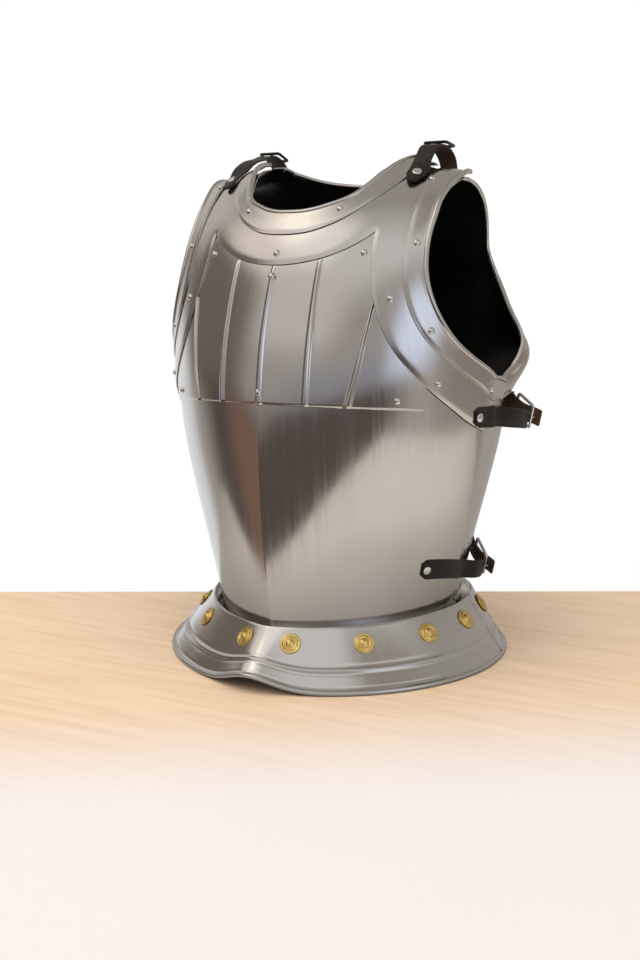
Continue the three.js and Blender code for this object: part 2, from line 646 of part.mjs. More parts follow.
function sideStations(bodyPlaces, freeLine, buckleAcross, turnedIn, sign) {
  const onBody = bodyPlaces.map(({ phi, z, height }) => {
    const across = placeOn([phi, z + 8], height).sub(placeOn([phi, z - 8], height)).normalize();
    const normal = surfaceNormal([phi, z]);
    const out = normal.addScaledVector(across, -normal.dot(across)).normalize();
    return { middle: placeOn([phi, z], height), across, out };
  });
  const start = onBody.at(-1);
  const line = freeLine.map(({ x, y, z }) => new THREE.Vector3(x, y, z));
  const free = line.map((middle, k) => {
    const ahead = line[Math.min(k + 1, line.length - 1)];
    const behind = k > 0 ? line[k - 1] : start.middle;
    const along = ahead.clone().sub(behind).normalize();
    const turned = Math.min((k + 1) / TURNING_POINTS, 1);
    const across = start.across.clone().lerp(buckleAcross, turned).normalize();
    const out = along.clone().cross(across).multiplyScalar(turnedIn ? -1 : 1).normalize();
    return { middle, across, out };
  });
  return [...onBody, ...free].map(({ middle, out, across }) => ({
    middle: mirrored(middle, sign),
    out: mirrored(out, sign),
    across: mirrored(across, sign),
  }));
}

// A buckle is a rectangular frame. It lies in the plane of `along` and `across`.
const BUCKLE = { wire: 3, depth: 2.6 };

function buckleFrame(length, width) {
  const outer = new THREE.Shape([
    new THREE.Vector2(-length / 2, -width / 2),
    new THREE.Vector2(length / 2, -width / 2),
    new THREE.Vector2(length / 2, width / 2),
    new THREE.Vector2(-length / 2, width / 2),
  ]);
  const [reach, rise] = [length / 2 - BUCKLE.wire, width / 2 - BUCKLE.wire];
  outer.holes.push(new THREE.Path([
    new THREE.Vector2(-reach, -rise),
    new THREE.Vector2(-reach, rise),
    new THREE.Vector2(reach, rise),
    new THREE.Vector2(reach, -rise),
  ]));
  const geometry = new THREE.ExtrudeGeometry(outer, { depth: BUCKLE.depth, bevelEnabled: false });
  return geometry.translate(0, 0, -BUCKLE.depth / 2);
}

function addBuckle(name, material, length, width, middle, along, across) {
  const mesh = addPiece(name, buckleFrame(length, width), material);
  const out = along.clone().cross(across);
  mesh.position.copy(middle);
  mesh.quaternion.setFromRotationMatrix(new THREE.Matrix4().makeBasis(along, across, out));
}

// Side fastenings. `bar` is where the buckle's front bar stands, at the side of the body; from there the
// buckle runs back at an angle of `heading` behind the side and rises by `climb`, both in degrees.
const STRAP_WIDTH = 21;
const BUCKLE_LENGTH = 34;
const ON_BASE = BASE + SHEET + 0.8;
const ON_YOKE = YOKE + SHEET + 0.8;
const ON_BANDS = BANDS + SHEET + 0.8;
const ON_BACK = BACK + SHEET + 0.8;
const SIDE_FASTENINGS = [
  {
    word: 'upper',
    bar: { x: 198, y: 83, z: 247 },
    heading: 37,
    climb: 20,
    frontPlaces: [
      { phi: 77, z: 263, height: ON_YOKE },
      { phi: 80, z: 262, height: ON_YOKE },
      { phi: 83.5, z: 261, height: ON_YOKE + 0.5 },
      { phi: 87, z: 260, height: ON_BANDS },
      { phi: 91, z: 258.5, height: ON_BANDS },
    ],
    frontLine: [{ x: 193, y: 36, z: 254.5 }, { x: 196.5, y: 56, z: 250.5 }, { x: 195.5, y: 71, z: 247 },
      { x: 192.5, y: 78.5, z: 246 }, { x: 186.5, y: 80.5, z: 246 }],
    backPlaces: [
      { phi: 150, z: 257, height: ON_BACK },
      { phi: 144, z: 257, height: ON_BACK + 0.3 },
      { phi: 138, z: 257, height: ON_BACK + 1.5 },
    ],
    backLine: [{ x: 154, y: 127, z: 258 }],
  },
  {
    word: 'lower',
    bar: { x: 150.5, y: 66, z: 83 },
    heading: 46,
    climb: 28,
    frontPlaces: [
      { phi: 64, z: 106, height: ON_BASE },
      { phi: 70, z: 104, height: ON_BASE },
      { phi: 76, z: 101, height: ON_BASE },
      { phi: 82, z: 98, height: ON_BASE },
      { phi: 88, z: 94.5, height: ON_BASE },
      { phi: 92, z: 92, height: ON_BASE },
    ],
    frontLine: [{ x: 151, y: 40, z: 87 }, { x: 151, y: 52, z: 84.5 }, { x: 147, y: 60.5, z: 83 },
      { x: 140.5, y: 62.5, z: 83 }],
    backPlaces: [
      { phi: 146, z: 108, height: ON_BACK },
      { phi: 140, z: 107, height: ON_BACK + 0.3 },
      { phi: 134, z: 106, height: ON_BACK + 1.5 },
    ],
    backLine: [{ x: 116.5, y: 99.5, z: 104.5 }],
  },
];
// The tongue's way through the buckle: past the rear bar on the inside, over the front bar outside.
const TONGUE_WAY = [
  { along: 37, out: -4.4 },
  { along: 24, out: -4.8 },
  { along: 12, out: -2 },
  { along: 2, out: 4.5 },
  { along: -4, out: 7 },
];

for (const { word: side, sign } of SIDES) {
  for (const { word, bar, heading, climb, frontPlaces, frontLine, backPlaces, backLine } of SIDE_FASTENINGS) {
    const turn = THREE.MathUtils.degToRad(heading);
    const tilt = THREE.MathUtils.degToRad(climb);
    const level = new THREE.Vector3(-Math.cos(turn), Math.sin(turn), 0);
    const outward = new THREE.Vector3(Math.sin(turn), Math.cos(turn), 0);
    const line = level.clone().multiplyScalar(Math.cos(tilt)).addScaledVector(UP, Math.sin(tilt));
    const across = UP.clone().multiplyScalar(Math.cos(tilt)).addScaledVector(level, -Math.sin(tilt));
    const front = sideStations(frontPlaces, frontLine, across, false, sign);
    addPiece(`front_strap_${word}_${side}`, strapSolid(front, STRAP_WIDTH), HIDE);
    const frontBar = new THREE.Vector3(bar.x, bar.y, bar.z);
    const tongue = TONGUE_WAY.map(({ along, out }) => (
      frontBar.clone().addScaledVector(line, along).addScaledVector(outward, out)
    ));
    const back = sideStations(backPlaces, [...backLine, ...tongue], across, true, sign);
    addPiece(`back_strap_${word}_${side}`, strapSolid(back, STRAP_WIDTH - 2), HIDE);
    const middle = frontBar.clone().addScaledVector(line, BUCKLE_LENGTH / 2);
    addBuckle(`buckle_${word}_${side}`, CHROME, BUCKLE_LENGTH, STRAP_WIDTH + 8, mirrored(middle, sign),
      mirrored(line, sign), mirrored(across, sign));
  }
}

// Shoulder straps: riveted to the yoke, they arch over the shoulder to the backplate. The arches are
// the undersides of the leather; the wearer's left one stands higher.
const SHOULDER_STRAP = { x: 109, width: 20, lift: 1.2 };
const SHOULDER_STRAPS = [
  {
    word: 'left',
    sign: 1,
    arch: [{ y: 12, z: 513.5 }, { y: 20, z: 521 }, { y: 29, z: 528 }, { y: 40, z: 529 }, { y: 58, z: 525 },
      { y: 69, z: 517 }],
    landing: [499, 489, 478],
    buckle: { y: 52, z: 531.2, fall: 0.2 },
  },
  {
    word: 'right',
    sign: -1,
    arch: [{ y: 12, z: 513 }, { y: 20, z: 517.5 }, { y: 29, z: 521 }, { y: 50, z: 524.5 },
      { y: 66, z: 527.5 }, { y: 80, z: 523 }, { y: 92, z: 512 }],
    landing: [489, 478, 467],
    buckle: { y: 79, z: 528, fall: 0.42 },
  },
];
const SHOULDER_BUCKLE_LENGTH = 24;

function placeAtX(x, z, onChest) {
  const power = sectionValue(onChest ? 'front_power' : 'back_power', z);
  const theta = THREE.MathUtils.radToDeg(Math.asin((x / sectionValue('half_width', z)) ** (power / 2)));
  return [onChest ? theta : 180 - theta, z];
}

for (const { word: side, sign, arch, landing, buckle } of SHOULDER_STRAPS) {
  const { x, width, lift } = SHOULDER_STRAP;
  const lie = (z, onChest, height) => {
    const at = (shift) => placeOn(placeAtX(x + shift, z, onChest), height);
    const across = at(width / 2).sub(at(-width / 2)).normalize();
    const out = surfaceNormal(placeAtX(x, z, onChest));
    return { middle: at(0), across, out: out.addScaledVector(across, -out.dot(across)).normalize() };
  };
  const level = new THREE.Vector3(1, 0, 0);
  const over = arch.map(({ y, z }, k) => {
    const behind = arch[Math.max(k - 1, 0)];
    const ahead = arch[Math.min(k + 1, arch.length - 1)];
    const along = new THREE.Vector3(0, ahead.y - behind.y, ahead.z - behind.z).normalize();
    return { middle: new THREE.Vector3(x, y, z), across: level, out: level.clone().cross(along) };
  });
  const strap = [
    ...[492, 499, 506].map((z) => lie(z, true, BANDS + SHEET + lift)),
    ...over,
    ...landing.map((z) => lie(z, false, BACK + SHEET + lift + 1)),
  ].map(({ middle, across, out }) => ({
    middle: mirrored(middle, sign),
    across: mirrored(across, sign),
    out: mirrored(out, sign),
  }));
  addPiece(`shoulder_strap_${side}`, strapSolid(strap, width), HIDE);
  const middle = new THREE.Vector3(x * sign, buckle.y, buckle.z);
  const along = new THREE.Vector3(0, 1, -buckle.fall).normalize();
  addBuckle(`shoulder_buckle_${side}`, BLACK, SHOULDER_BUCKLE_LENGTH, width + 8, middle, along, level);
}

const outline = new THREE.Box3().setFromObject(cuirass, true);
cuirass.position.y = -(outline.min.y + outline.max.y) / 2;

export default cuirass;
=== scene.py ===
"""Looks of a steel cuirass: fluted breastplate, backplate, flared waist skirt, straps and buckles.

Lengths are millimetres in the armour's own place and become metres when a mesh is made. +Z is up, the
chest faces -Y and the wearer's left is +X.
"""

import logging
import math
from collections.abc import Sequence
from dataclasses import dataclass
from enum import Enum
from typing import Any

import bpy
import numpy as np
from mathutils import Matrix, Vector


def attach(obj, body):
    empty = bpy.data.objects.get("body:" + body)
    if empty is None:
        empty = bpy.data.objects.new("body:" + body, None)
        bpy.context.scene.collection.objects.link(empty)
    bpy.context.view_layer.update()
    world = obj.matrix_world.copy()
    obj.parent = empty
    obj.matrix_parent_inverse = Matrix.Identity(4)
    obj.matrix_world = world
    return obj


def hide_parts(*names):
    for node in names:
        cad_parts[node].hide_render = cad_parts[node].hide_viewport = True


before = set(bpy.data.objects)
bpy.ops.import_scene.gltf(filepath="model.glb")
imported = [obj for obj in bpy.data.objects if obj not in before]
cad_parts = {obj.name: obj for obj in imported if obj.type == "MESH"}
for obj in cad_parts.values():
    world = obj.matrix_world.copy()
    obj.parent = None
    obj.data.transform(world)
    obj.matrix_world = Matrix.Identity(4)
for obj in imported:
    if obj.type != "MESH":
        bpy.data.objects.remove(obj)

LOG = logging.getLogger("cuirass")
MM = 0.001
SET_BACK = 13.6  # the torso's own origin stands this far behind the middle of the model's box

Array = np.ndarray


class Slot(Enum):
    """Material slots of the record."""

    PLATE = "plate_steel"
    SKIRT = "skirt_steel"
    RIVET = "rivet_steel"
    BRASS = "brass"
    LEATHER = "leather"
    CHROME = "chrome"
    PAINT = "black_paint"


class Side(Enum):
    """The wearer's left and right, as the sign of X."""

    LEFT = 1
    RIGHT = -1

    @property
    def word(self) -> str:
        """The side's name as the frame's nodes spell it."""
        return self.name.lower()


# ---------------------------------------------------------------- small mathematics


def smooth(low: float, high: float, value: Any) -> Any:
    """Climbs softly from 0 at low to 1 at high."""
    t = np.clip((np.asarray(value, float) - low) / (high - low), 0.0, 1.0)
    return t * t * (3.0 - 2.0 * t)


def bell(distance: Any, spread: float) -> Any:
    """A bell curve, 1 in the middle."""
    return np.exp(-((np.asarray(distance, float) / spread) ** 2))


def unit(vectors: Array) -> Array:
    """Vectors scaled to length one."""
    length = np.linalg.norm(vectors, axis=-1, keepdims=True)
    return vectors / np.maximum(length, 1e-12)


def tangents_of(at: Array, values: Array) -> Array:
    """Slopes that a soft curve has at its knots.

    Args:
        at: where the knots are along the curve.
        values: their values, with any number of coordinates.

    Returns:
        One slope for each knot.
    """
    gap = np.diff(at).reshape((-1,) + (1,) * (values.ndim - 1))
    slopes = np.diff(values, axis=0) / gap
    tangents = np.empty_like(values)
    tangents[1:-1] = (slopes[1:] * gap[:-1] + slopes[:-1] * gap[1:]) / (gap[1:] + gap[:-1])
    tangents[0], tangents[-1] = slopes[0], slopes[-1]
    return tangents


def through(points: Sequence[Sequence[float]], count: int) -> Array:
    """Places spread evenly along a soft curve through points.

    Args:
        points: the points, in order, with any number of coordinates.
        count: how many places to give back.

    Returns:
        An array of count rows.
    """
    knots = np.asarray(points, float)
    step = np.linalg.norm(np.diff(knots, axis=0), axis=1)
    at = np.concatenate([[0.0], np.cumsum(np.maximum(step, 1e-9))])
    tangents = tangents_of(at, knots)
    fine = np.linspace(0.0, at[-1], count * 8)
    dense = hermite(at, knots, tangents, fine)
    run = np.concatenate([[0.0], np.cumsum(np.linalg.norm(np.diff(dense, axis=0), axis=1))])
    wanted = np.interp(np.linspace(0.0, run[-1], count), run, fine)
    return hermite(at, knots, tangents, wanted)


def hermite(at: Array, values: Array, tangents: Array, wanted: Array) -> Array:
    """Reads a cubic Hermite curve at the wanted places.

    Args:
        at: where the knots are.
        values: their values.
        tangents: their slopes.
        wanted: the places to read.

    Returns:
        One value for each wanted place.
    """
    k = np.clip(np.searchsorted(at, wanted, side="right") - 1, 0, len(at) - 2)
    width = at[k + 1] - at[k]
    t = (wanted - at[k]) / width
    shape = (slice(None),) + (None,) * (values.ndim - 1)
    t, width = t[shape], width[shape]
    return (
        (2 * t**3 - 3 * t**2 + 1) * values[k]
        + (t**3 - 2 * t**2 + t) * width * tangents[k]
        + (3 * t**2 - 2 * t**3) * values[k + 1]
        + (t**3 - t**2) * width * tangents[k + 1]
    )


# ---------------------------------------------------------------- torso surface


@dataclass(frozen=True)
class Section:
    """A horizontal section of the torso: two half superellipses."""

    z: float
    half_width: float
    front: float
    back: float
    centre: float
    front_power: float
    back_power: float


@dataclass(frozen=True)
class Torso:
    """The surface that all body plates follow.

    A place on it is (phi, z): phi in degrees from the middle of the chest (0) past the side (90) to the
    spine (180), and the height. A height above the top carries on down the other side of the shoulder.
    """

    top: float = 521.0
    keel: float = 2.4
    keel_spread: float = 15.0
    slope: float = 34.0
    slope_from: float = 78.0
    slope_run: float = 60.0
    slope_spread: float = 4.2
    sections: tuple[Section, ...] = (
        Section(0, 126, 136, 96, 10, 1.75, 2.7),
        Section(50, 135, 143, 102, 10, 1.75, 2.7),
        Section(110, 148, 148, 115, 9, 1.75, 2.7),
        Section(170, 163, 151.5, 130, 8, 1.75, 2.8),
        Section(230, 176, 152.5, 143, 9, 1.8, 2.9),
        Section(285, 181.5, 149.5, 149, 10, 1.86, 3.0),
        Section(335, 182, 142.5, 150, 12, 1.88, 3.0),
        Section(384, 180.5, 129.5, 143, 15, 1.88, 2.9),
        Section(430, 176, 112.5, 124, 20, 1.88, 2.8),
        Section(465, 169, 91, 99, 26, 1.88, 2.75),
        Section(490, 162, 66, 69, 32, 1.9, 2.7),
        Section(505, 156, 46, 48, 36, 2.0, 2.6),
        Section(515, 151, 28, 30, 39, 2.2, 2.45),
        Section(521, 148, 0, 0, 41, 2.35, 2.35),
    )

    def value(self, name: str, climb: Array) -> Array:
        """One size of the sections, read at the square root of the depth below the top.

        Args:
            name: the size's name.
            climb: square roots of the depth, of either sign.

        Returns:
            One size for each climb.
        """
        rows = self.sections[::-1]
        at = np.array([math.sqrt(self.top - row.z) for row in rows])
        values = np.array([getattr(row, name) for row in rows], float)
        return hermite(at, values, tangents_of(at, values), np.abs(climb))

    def point(self, theta: Array, climb: Array) -> Array:
        """Points for theta, 0 to 90 degrees, and climb, negative on the chest and positive on the back.

        Args:
            theta: degrees round the body from its middle line.
            climb: square root of the depth below the top, with the side's sign.

        Returns:
            Points in millimetres.
        """
        theta, climb = np.broadcast_arrays(np.asarray(theta, float), np.asarray(climb, float))
        over = theta > 90
        theta, climb = np.where(over, 180 - theta, theta), np.where(over, -climb, climb)
        chest = climb < 0
        shape = climb.shape
        flat = climb.ravel()

        def read(name: str) -> Array:
            """One size of the sections at every place.

            Args:
                name: the size's name.

            Returns:
                An array of the places' shape.
            """
            return self.value(name, flat).reshape(shape)

        power = np.where(chest, read("front_power"), read("back_power"))
        reach = np.where(chest, -read("front"), read("back"))
        angle = np.radians(theta)
        across = np.sign(np.sin(angle)) * np.abs(np.sin(angle)) ** (2 / power)
        along = np.maximum(np.cos(angle), 0.0) ** (2 / power)
        x = read("half_width") * across
        z = self.top - climb**2
        ridge = self.keel * np.exp(-np.abs(x) / self.keel_spread) * (1 - smooth(210, 283, z))
        drop = self.slope * (1 - np.exp(-np.maximum(np.abs(x) - self.slope_from, 0) / self.slope_run))
        y = read("centre") + reach * along - np.where(chest, ridge, 0.0)
        return np.stack([x, y, z - drop * bell(climb, self.slope_spread)], axis=-1)

    def coordinates(self, phi: Array, z: Array) -> tuple[Array, Array]:
        """Theta and climb of a place.

        Args:
            phi: degrees round the body.
            z: heights.

        Returns:
            Theta and climb.
        """
        over = z > self.top
        height = np.where(over, 2 * self.top - z, z)
        around = np.where(over, 180 - phi, phi)
        climb = np.sqrt(np.maximum(self.top - height, 0.0))
        return np.where(around <= 90, around, 180 - around), np.where(around <= 90, -climb, climb)

    def normal(self, phi: Array, z: Array) -> Array:
        """Outward directions at the places.

        Args:
            phi: degrees round the body.
            z: heights.

        Returns:
            Directions of length one.
        """
        theta, climb = self.coordinates(phi, z)
        around = self.point(theta + 0.5, climb) - self.point(np.maximum(theta - 0.5, 0.02), climb)
        up = self.point(theta, climb + 0.06) - self.point(theta, climb - 0.06)
        normal = unit(np.cross(up, around))
        middle = theta < 0.01
        normal[..., 0] = np.where(middle, 0.0, normal[..., 0])
        normal = unit(normal)
        here = self.point(theta, climb)
        outward = np.stack([here[..., 0], here[..., 1] - 30, np.maximum(here[..., 2] - 420, 0)], -1)
        return np.where((normal * outward).sum(-1, keepdims=True) < 0, -normal, normal)

    def place(self, phi: Any, z: Any, height: Any = 0.0, side: int = 1) -> Array:
        """Points at a height over the surface.

        Args:
            phi: degrees round the body.
            z: heights; both may be arrays of one shape.
            height: distance outward from the surface, a number or an array.
            side: 1 for the wearer's left, -1 for the right.

        Returns:
            Points in millimetres.
        """
        phi, z, height = np.broadcast_arrays(np.asarray(phi, float), np.asarray(z, float), height)
        points = self.point(*self.coordinates(phi, z)) + self.normal(phi, z) * height[..., None]
        return points * np.array([side, 1.0, 1.0])

    def phi_at(self, x: float, z: float, chest: bool) -> float:
        """Degrees round the body where the surface at height z stands x from the middle.

        Args:
            x: distance from the middle.
            z: height.
            chest: whether the place is on the chest and not on the back.

        Returns:
            Degrees.
        """
        climb = np.array([math.sqrt(self.top - z)])
        power = self.value("front_power" if chest else "back_power", climb)[0]
        theta = math.degrees(math.asin((x / self.value("half_width", climb)[0]) ** (power / 2)))
        return theta if chest else 180 - theta


TORSO = Torso()


@dataclass(frozen=True)
class Layers:
    """Undersides of the stacked plates over the torso surface."""

    sheet: float = 1.2
    gap: float = 0.9

    @property
    def chest(self) -> float:
        """Underside of the fluted chest plate."""
        return 0.0

    @property
    def base(self) -> float:
        """Underside of the lower breastplate."""
        return -(self.sheet + self.gap)

    @property
    def yoke(self) -> float:
        """Underside of the yoke."""
        return self.sheet + self.gap

    @property
    def bands(self) -> float:
        """Underside of the neck and arm bands."""
        return 2 * (self.sheet + self.gap)

    @property
    def back(self) -> float:
        """Underside of the backplate."""
        return self.base - self.sheet - self.gap - 0.81


LAYERS = Layers()


# ---------------------------------------------------------------- meshes


class Shape:
    """Collects points and faces, in millimetres, for one mesh."""

    def __init__(self) -> None:
        """Starts empty."""
        self.points: list[Array] = []
        self.faces: list[list[int]] = []
        self.finishes: list[int] = []
        self.count = 0

    def add(self, points: Array, faces: Sequence[Sequence[int]], finish: int = 0) -> None:
        """Adds points and the faces between them, all with one material index.

        Args:
            points: the new points.
            faces: rows of numbers into those points.
            finish: material index.
        """
        self.faces += [[k + self.count for k in face] for face in faces]
        self.finishes += [finish] * len(faces)
        self.points.append(np.asarray(points, float).reshape(-1, 3))
        self.count += len(self.points[-1])

    def grid(self, points: Array, wrap: bool = False, caps: bool = False, finish: int = 0) -> None:
        """Adds a sheet of quads through rows of points.

        Args:
            points: rows by columns by 3.
            wrap: whether each row closes on itself.
            caps: whether the first and last rows are filled.
            finish: material index.
        """
        rows, columns = points.shape[:2]
        faces: list[list[int]] = []
        for r in range(rows - 1):
            for c in range(columns if wrap else columns - 1):
                a, b = r * columns + c, r * columns + (c + 1) % columns
                faces.append([a, b, b + columns, a + columns])
        if caps:
            faces.append(list(range(columns))[::-1])
            faces.append([(rows - 1) * columns + c for c in range(columns)])
        self.add(points, faces, finish)

    def weld(self) -> None:
        """Joins points that lie on one another, so that patches become one sheet."""
        points = np.vstack(self.points)
        keys, first, where = np.unique(
            np.round(points, 2), axis=0, return_index=True, return_inverse=True
        )
        where = where.ravel()
        kept: list[list[int]] = []
        finishes: list[int] = []
        for face, finish in zip(self.faces, self.finishes):
            corners = list(dict.fromkeys(int(where[k]) for k in face))
            if len(corners) > 2:
                kept.append(corners)
                finishes.append(finish)
        self.points, self.count = [points[first]], len(keys)
        self.faces, self.finishes = kept, finishes

    def build(self, name: str, materials: Sequence[bpy.types.Material]) -> bpy.types.Object:
        """Makes the object, in metres, at its real place with its origin at zero.

        Args:
            name: the object's name.
            materials: its materials, in the order of the indices.

        Returns:
            The new object.
        """
        points = np.vstack(self.points) * MM
        points[:, 1] += SET_BACK * MM
        mesh = bpy.data.meshes.new(name)
        mesh.from_pydata(points.tolist(), [], self.faces)
        for material in materials:
            mesh.materials.append(material)
        mesh.polygons.foreach_set("material_index", self.finishes)
        mesh.polygons.foreach_set("use_smooth", [True] * len(self.faces))
        mesh.update()
        piece = bpy.data.objects.new(name, mesh)
        bpy.context.scene.collection.objects.link(piece)
        return piece


def publish(piece: bpy.types.Object, slot: Slot, *nodes: str) -> bpy.types.Object:
    """Attaches a piece to the root body and hides the CAD nodes that it stands for.

    Args:
        piece: the Blender object.
        slot: its material slot; not used.
        nodes: the CAD nodes that it replaces, if any.

    Returns:
        The same object.
    """
    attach(piece, "root")
    if nodes:
        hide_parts(*nodes)
    LOG.info("%s: %d faces, for %s", piece.name, len(piece.data.polygons), ", ".join(nodes) or "looks")
    return piece


def sheet_steel(piece: bpy.types.Object, mirror: bool, edge: float = 0.35) -> None:
    """Gives an outer skin its sheet thickness, its mirrored half and softened edges.

    Args:
        piece: the outer skin.
        mirror: whether its other half is a mirror image.
        edge: width of the softened edge, in millimetres.
    """
    if mirror:
        twin = piece.modifiers.new("other half", "MIRROR")
        twin.merge_threshold = 2e-5
    solid = piece.modifiers.new("sheet", "SOLIDIFY")
    solid.thickness = LAYERS.sheet * MM
    solid.offset = -1
    solid.material_offset = 1
    solid.material_offset_rim = 0
    soft = piece.modifiers.new("edge", "BEVEL")
    soft.width = edge * MM
    soft.segments = 2
    soft.limit_method = "ANGLE"
    soft.angle_limit = math.radians(55)
    even = piece.modifiers.new("shading", "WEIGHTED_NORMAL")
    even.keep_sharp = True


def skin(grid: Array, outward: Array, row: int = 0, column: int = 0) -> Array:
    """Orders a grid's columns so that its faces look outward.

    Args:
        grid: rows by columns by 3.
        outward: a direction away from the body, near the tested face.
        row: the tested face's row.
        column: the tested face's column.

    Returns:
        The grid, turned round if it has to be.
    """
    here = grid[row, column]
    facing = np.cross(grid[row, column + 1] - here, grid[row + 1, column] - here)
    return grid if np.dot(facing, outward) > 0 else grid[:, ::-1]


def tube(path: Array, radius: Any, sides: int = 12, closed: bool = False) -> Array:
    """Rings of a round tube along a path.

    Args:
        path: points along its middle.
        radius: one radius, or one for each point.
        sides: points of a ring.
        closed: whether the path is a loop.

    Returns:
        Rows of ring points; a closed tube's last row repeats its first.
    """
    if closed:
        path = np.vstack([path, path[:1]])
        tangent = np.gradient(np.vstack([path[-2:-1], path, path[1:2]]), axis=0)[1:-1]
    else:
        tangent = np.gradient(path, axis=0)
    tangent = unit(tangent)
    size = np.broadcast_to(np.asarray(radius, float), len(path))
    side = unit(np.cross(tangent[0], np.array([0.31, 0.17, 0.93])))
    rings = []
    angles = np.linspace(0, 2 * math.pi, sides, endpoint=False)
    for point, way, wide in zip(path, tangent, size):
        side = unit(side - way * np.dot(side, way))
        other = np.cross(way, side)
        rings.append(point + wide * (np.cos(angles)[:, None] * side + np.sin(angles)[:, None] * other))
    if closed:
        rings[-1] = rings[0]
    return np.array(rings)


def bead(
    name: str, path: Array, radius: float, sides: int, mirror: bool, finish: bpy.types.Material
) -> None:
    """A rolled edge: a round bead along a path.

    Args:
        name: the piece's name.
        path: points along its middle, from the body's middle line where it is mirrored.
        radius: half its thickness.
        sides: points of a ring.
        mirror: whether it carries on over the other half of the body.
        finish: its material.
    """
    if mirror:
        path = np.vstack([(path * [-1, 1, 1])[:0:-1], path])
    shape = Shape()
    shape.grid(tube(path, radius, sides), wrap=True, caps=True)
    publish(shape.build(name, [finish]), Slot.PLATE)


def turned(profile: Sequence[Sequence[float]], sides: int, foot: Array, outward: Array) -> Array:
    """Rings of a turned piece that stands on foot along outward; profile rows are radius and height.

    Args:
        profile: radius and height, row by row.
        sides: points of a ring.
        foot: where it stands.
        outward: its axis.

    Returns:
        Rows of ring points.
    """
    outward = unit(outward)
    right = unit(np.cross(np.array([0.0, 0.0, 1.0]), outward))
    up = np.cross(outward, right)
    angles = np.linspace(0, 2 * math.pi, sides, endpoint=False)
    around = np.cos(angles)[:, None] * right + np.sin(angles)[:, None] * up
    return np.array([foot + radius * around + height * outward for radius, height in profile])


# ---------------------------------------------------------------- node building


class Graph:
    """Adds nodes to a node tree and joins them."""

    def __init__(self, tree: bpy.types.NodeTree) -> None:
        """Works on tree."""
        self.tree = tree

    def node(self, kind: str, inputs: dict[str, Any] | None = None, **settings: Any) -> bpy.types.Node:
        """Adds a node.

        Args:
            kind: node type without its ShaderNode prefix.
            inputs: values or output sockets for its inputs, by name or number.
            settings: attributes of the node.

        Returns:
            The new node.
        """
        made = self.tree.nodes.new(f"ShaderNode{kind}")
        for name, value in settings.items():
            setattr(made, name, value)
        for name, value in (inputs or {}).items():
            socket = made.inputs[name]
            if isinstance(value, bpy.types.NodeSocket):
                self.tree.links.new(value, socket)
            else:
                socket.default_value = value
        return made

    def sum(self, kind: str, first: Any, second: Any = 0.0, third: Any = 0.0) -> bpy.types.NodeSocket:
        """Output of a Math node."""
        made = self.node("Math", {0: first, 1: second, 2: third}, operation=kind)
        return made.outputs[0]

    def ramp(self, factor: Any, low: float, high: float, start: float = 0.0, end: float = 1.0) -> Any:
        """Maps a factor softly from one range to another.

        Args:
            factor: a number or a socket.
            low: the factor that gives start.
            high: the factor that gives end.
            start: the result at low.
            end: the result at high.

        Returns:
            The result's socket.
        """
        made = self.node(
            "MapRange",
            {0: factor, 1: low, 2: high, 3: start, 4: end},
            interpolation_type="SMOOTHSTEP",
        )
        return made.outputs[0]

    def blend(self, factor: Any, first: Any, second: Any, kind: str = "MIX") -> bpy.types.NodeSocket:
        """Output of a colour mix.

        Args:
            factor: share of the second colour.
            first: a colour or a socket.
            second: a colour or a socket.
            kind: how the two are mixed.

        Returns:
            The mixed colour's socket.
        """
        made = self.node("Mix", {0: factor}, data_type="RGBA", blend_type=kind)
        for socket, value in ((made.inputs[6], first), (made.inputs[7], second)):
            if isinstance(value, bpy.types.NodeSocket):
                self.tree.links.new(value, socket)
            else:
                socket.default_value = value
        return made.outputs[2]


def rgba(red: float, green: float, blue: float) -> tuple[float, float, float, float]:
    """An opaque colour."""
    return (red, green, blue, 1.0)


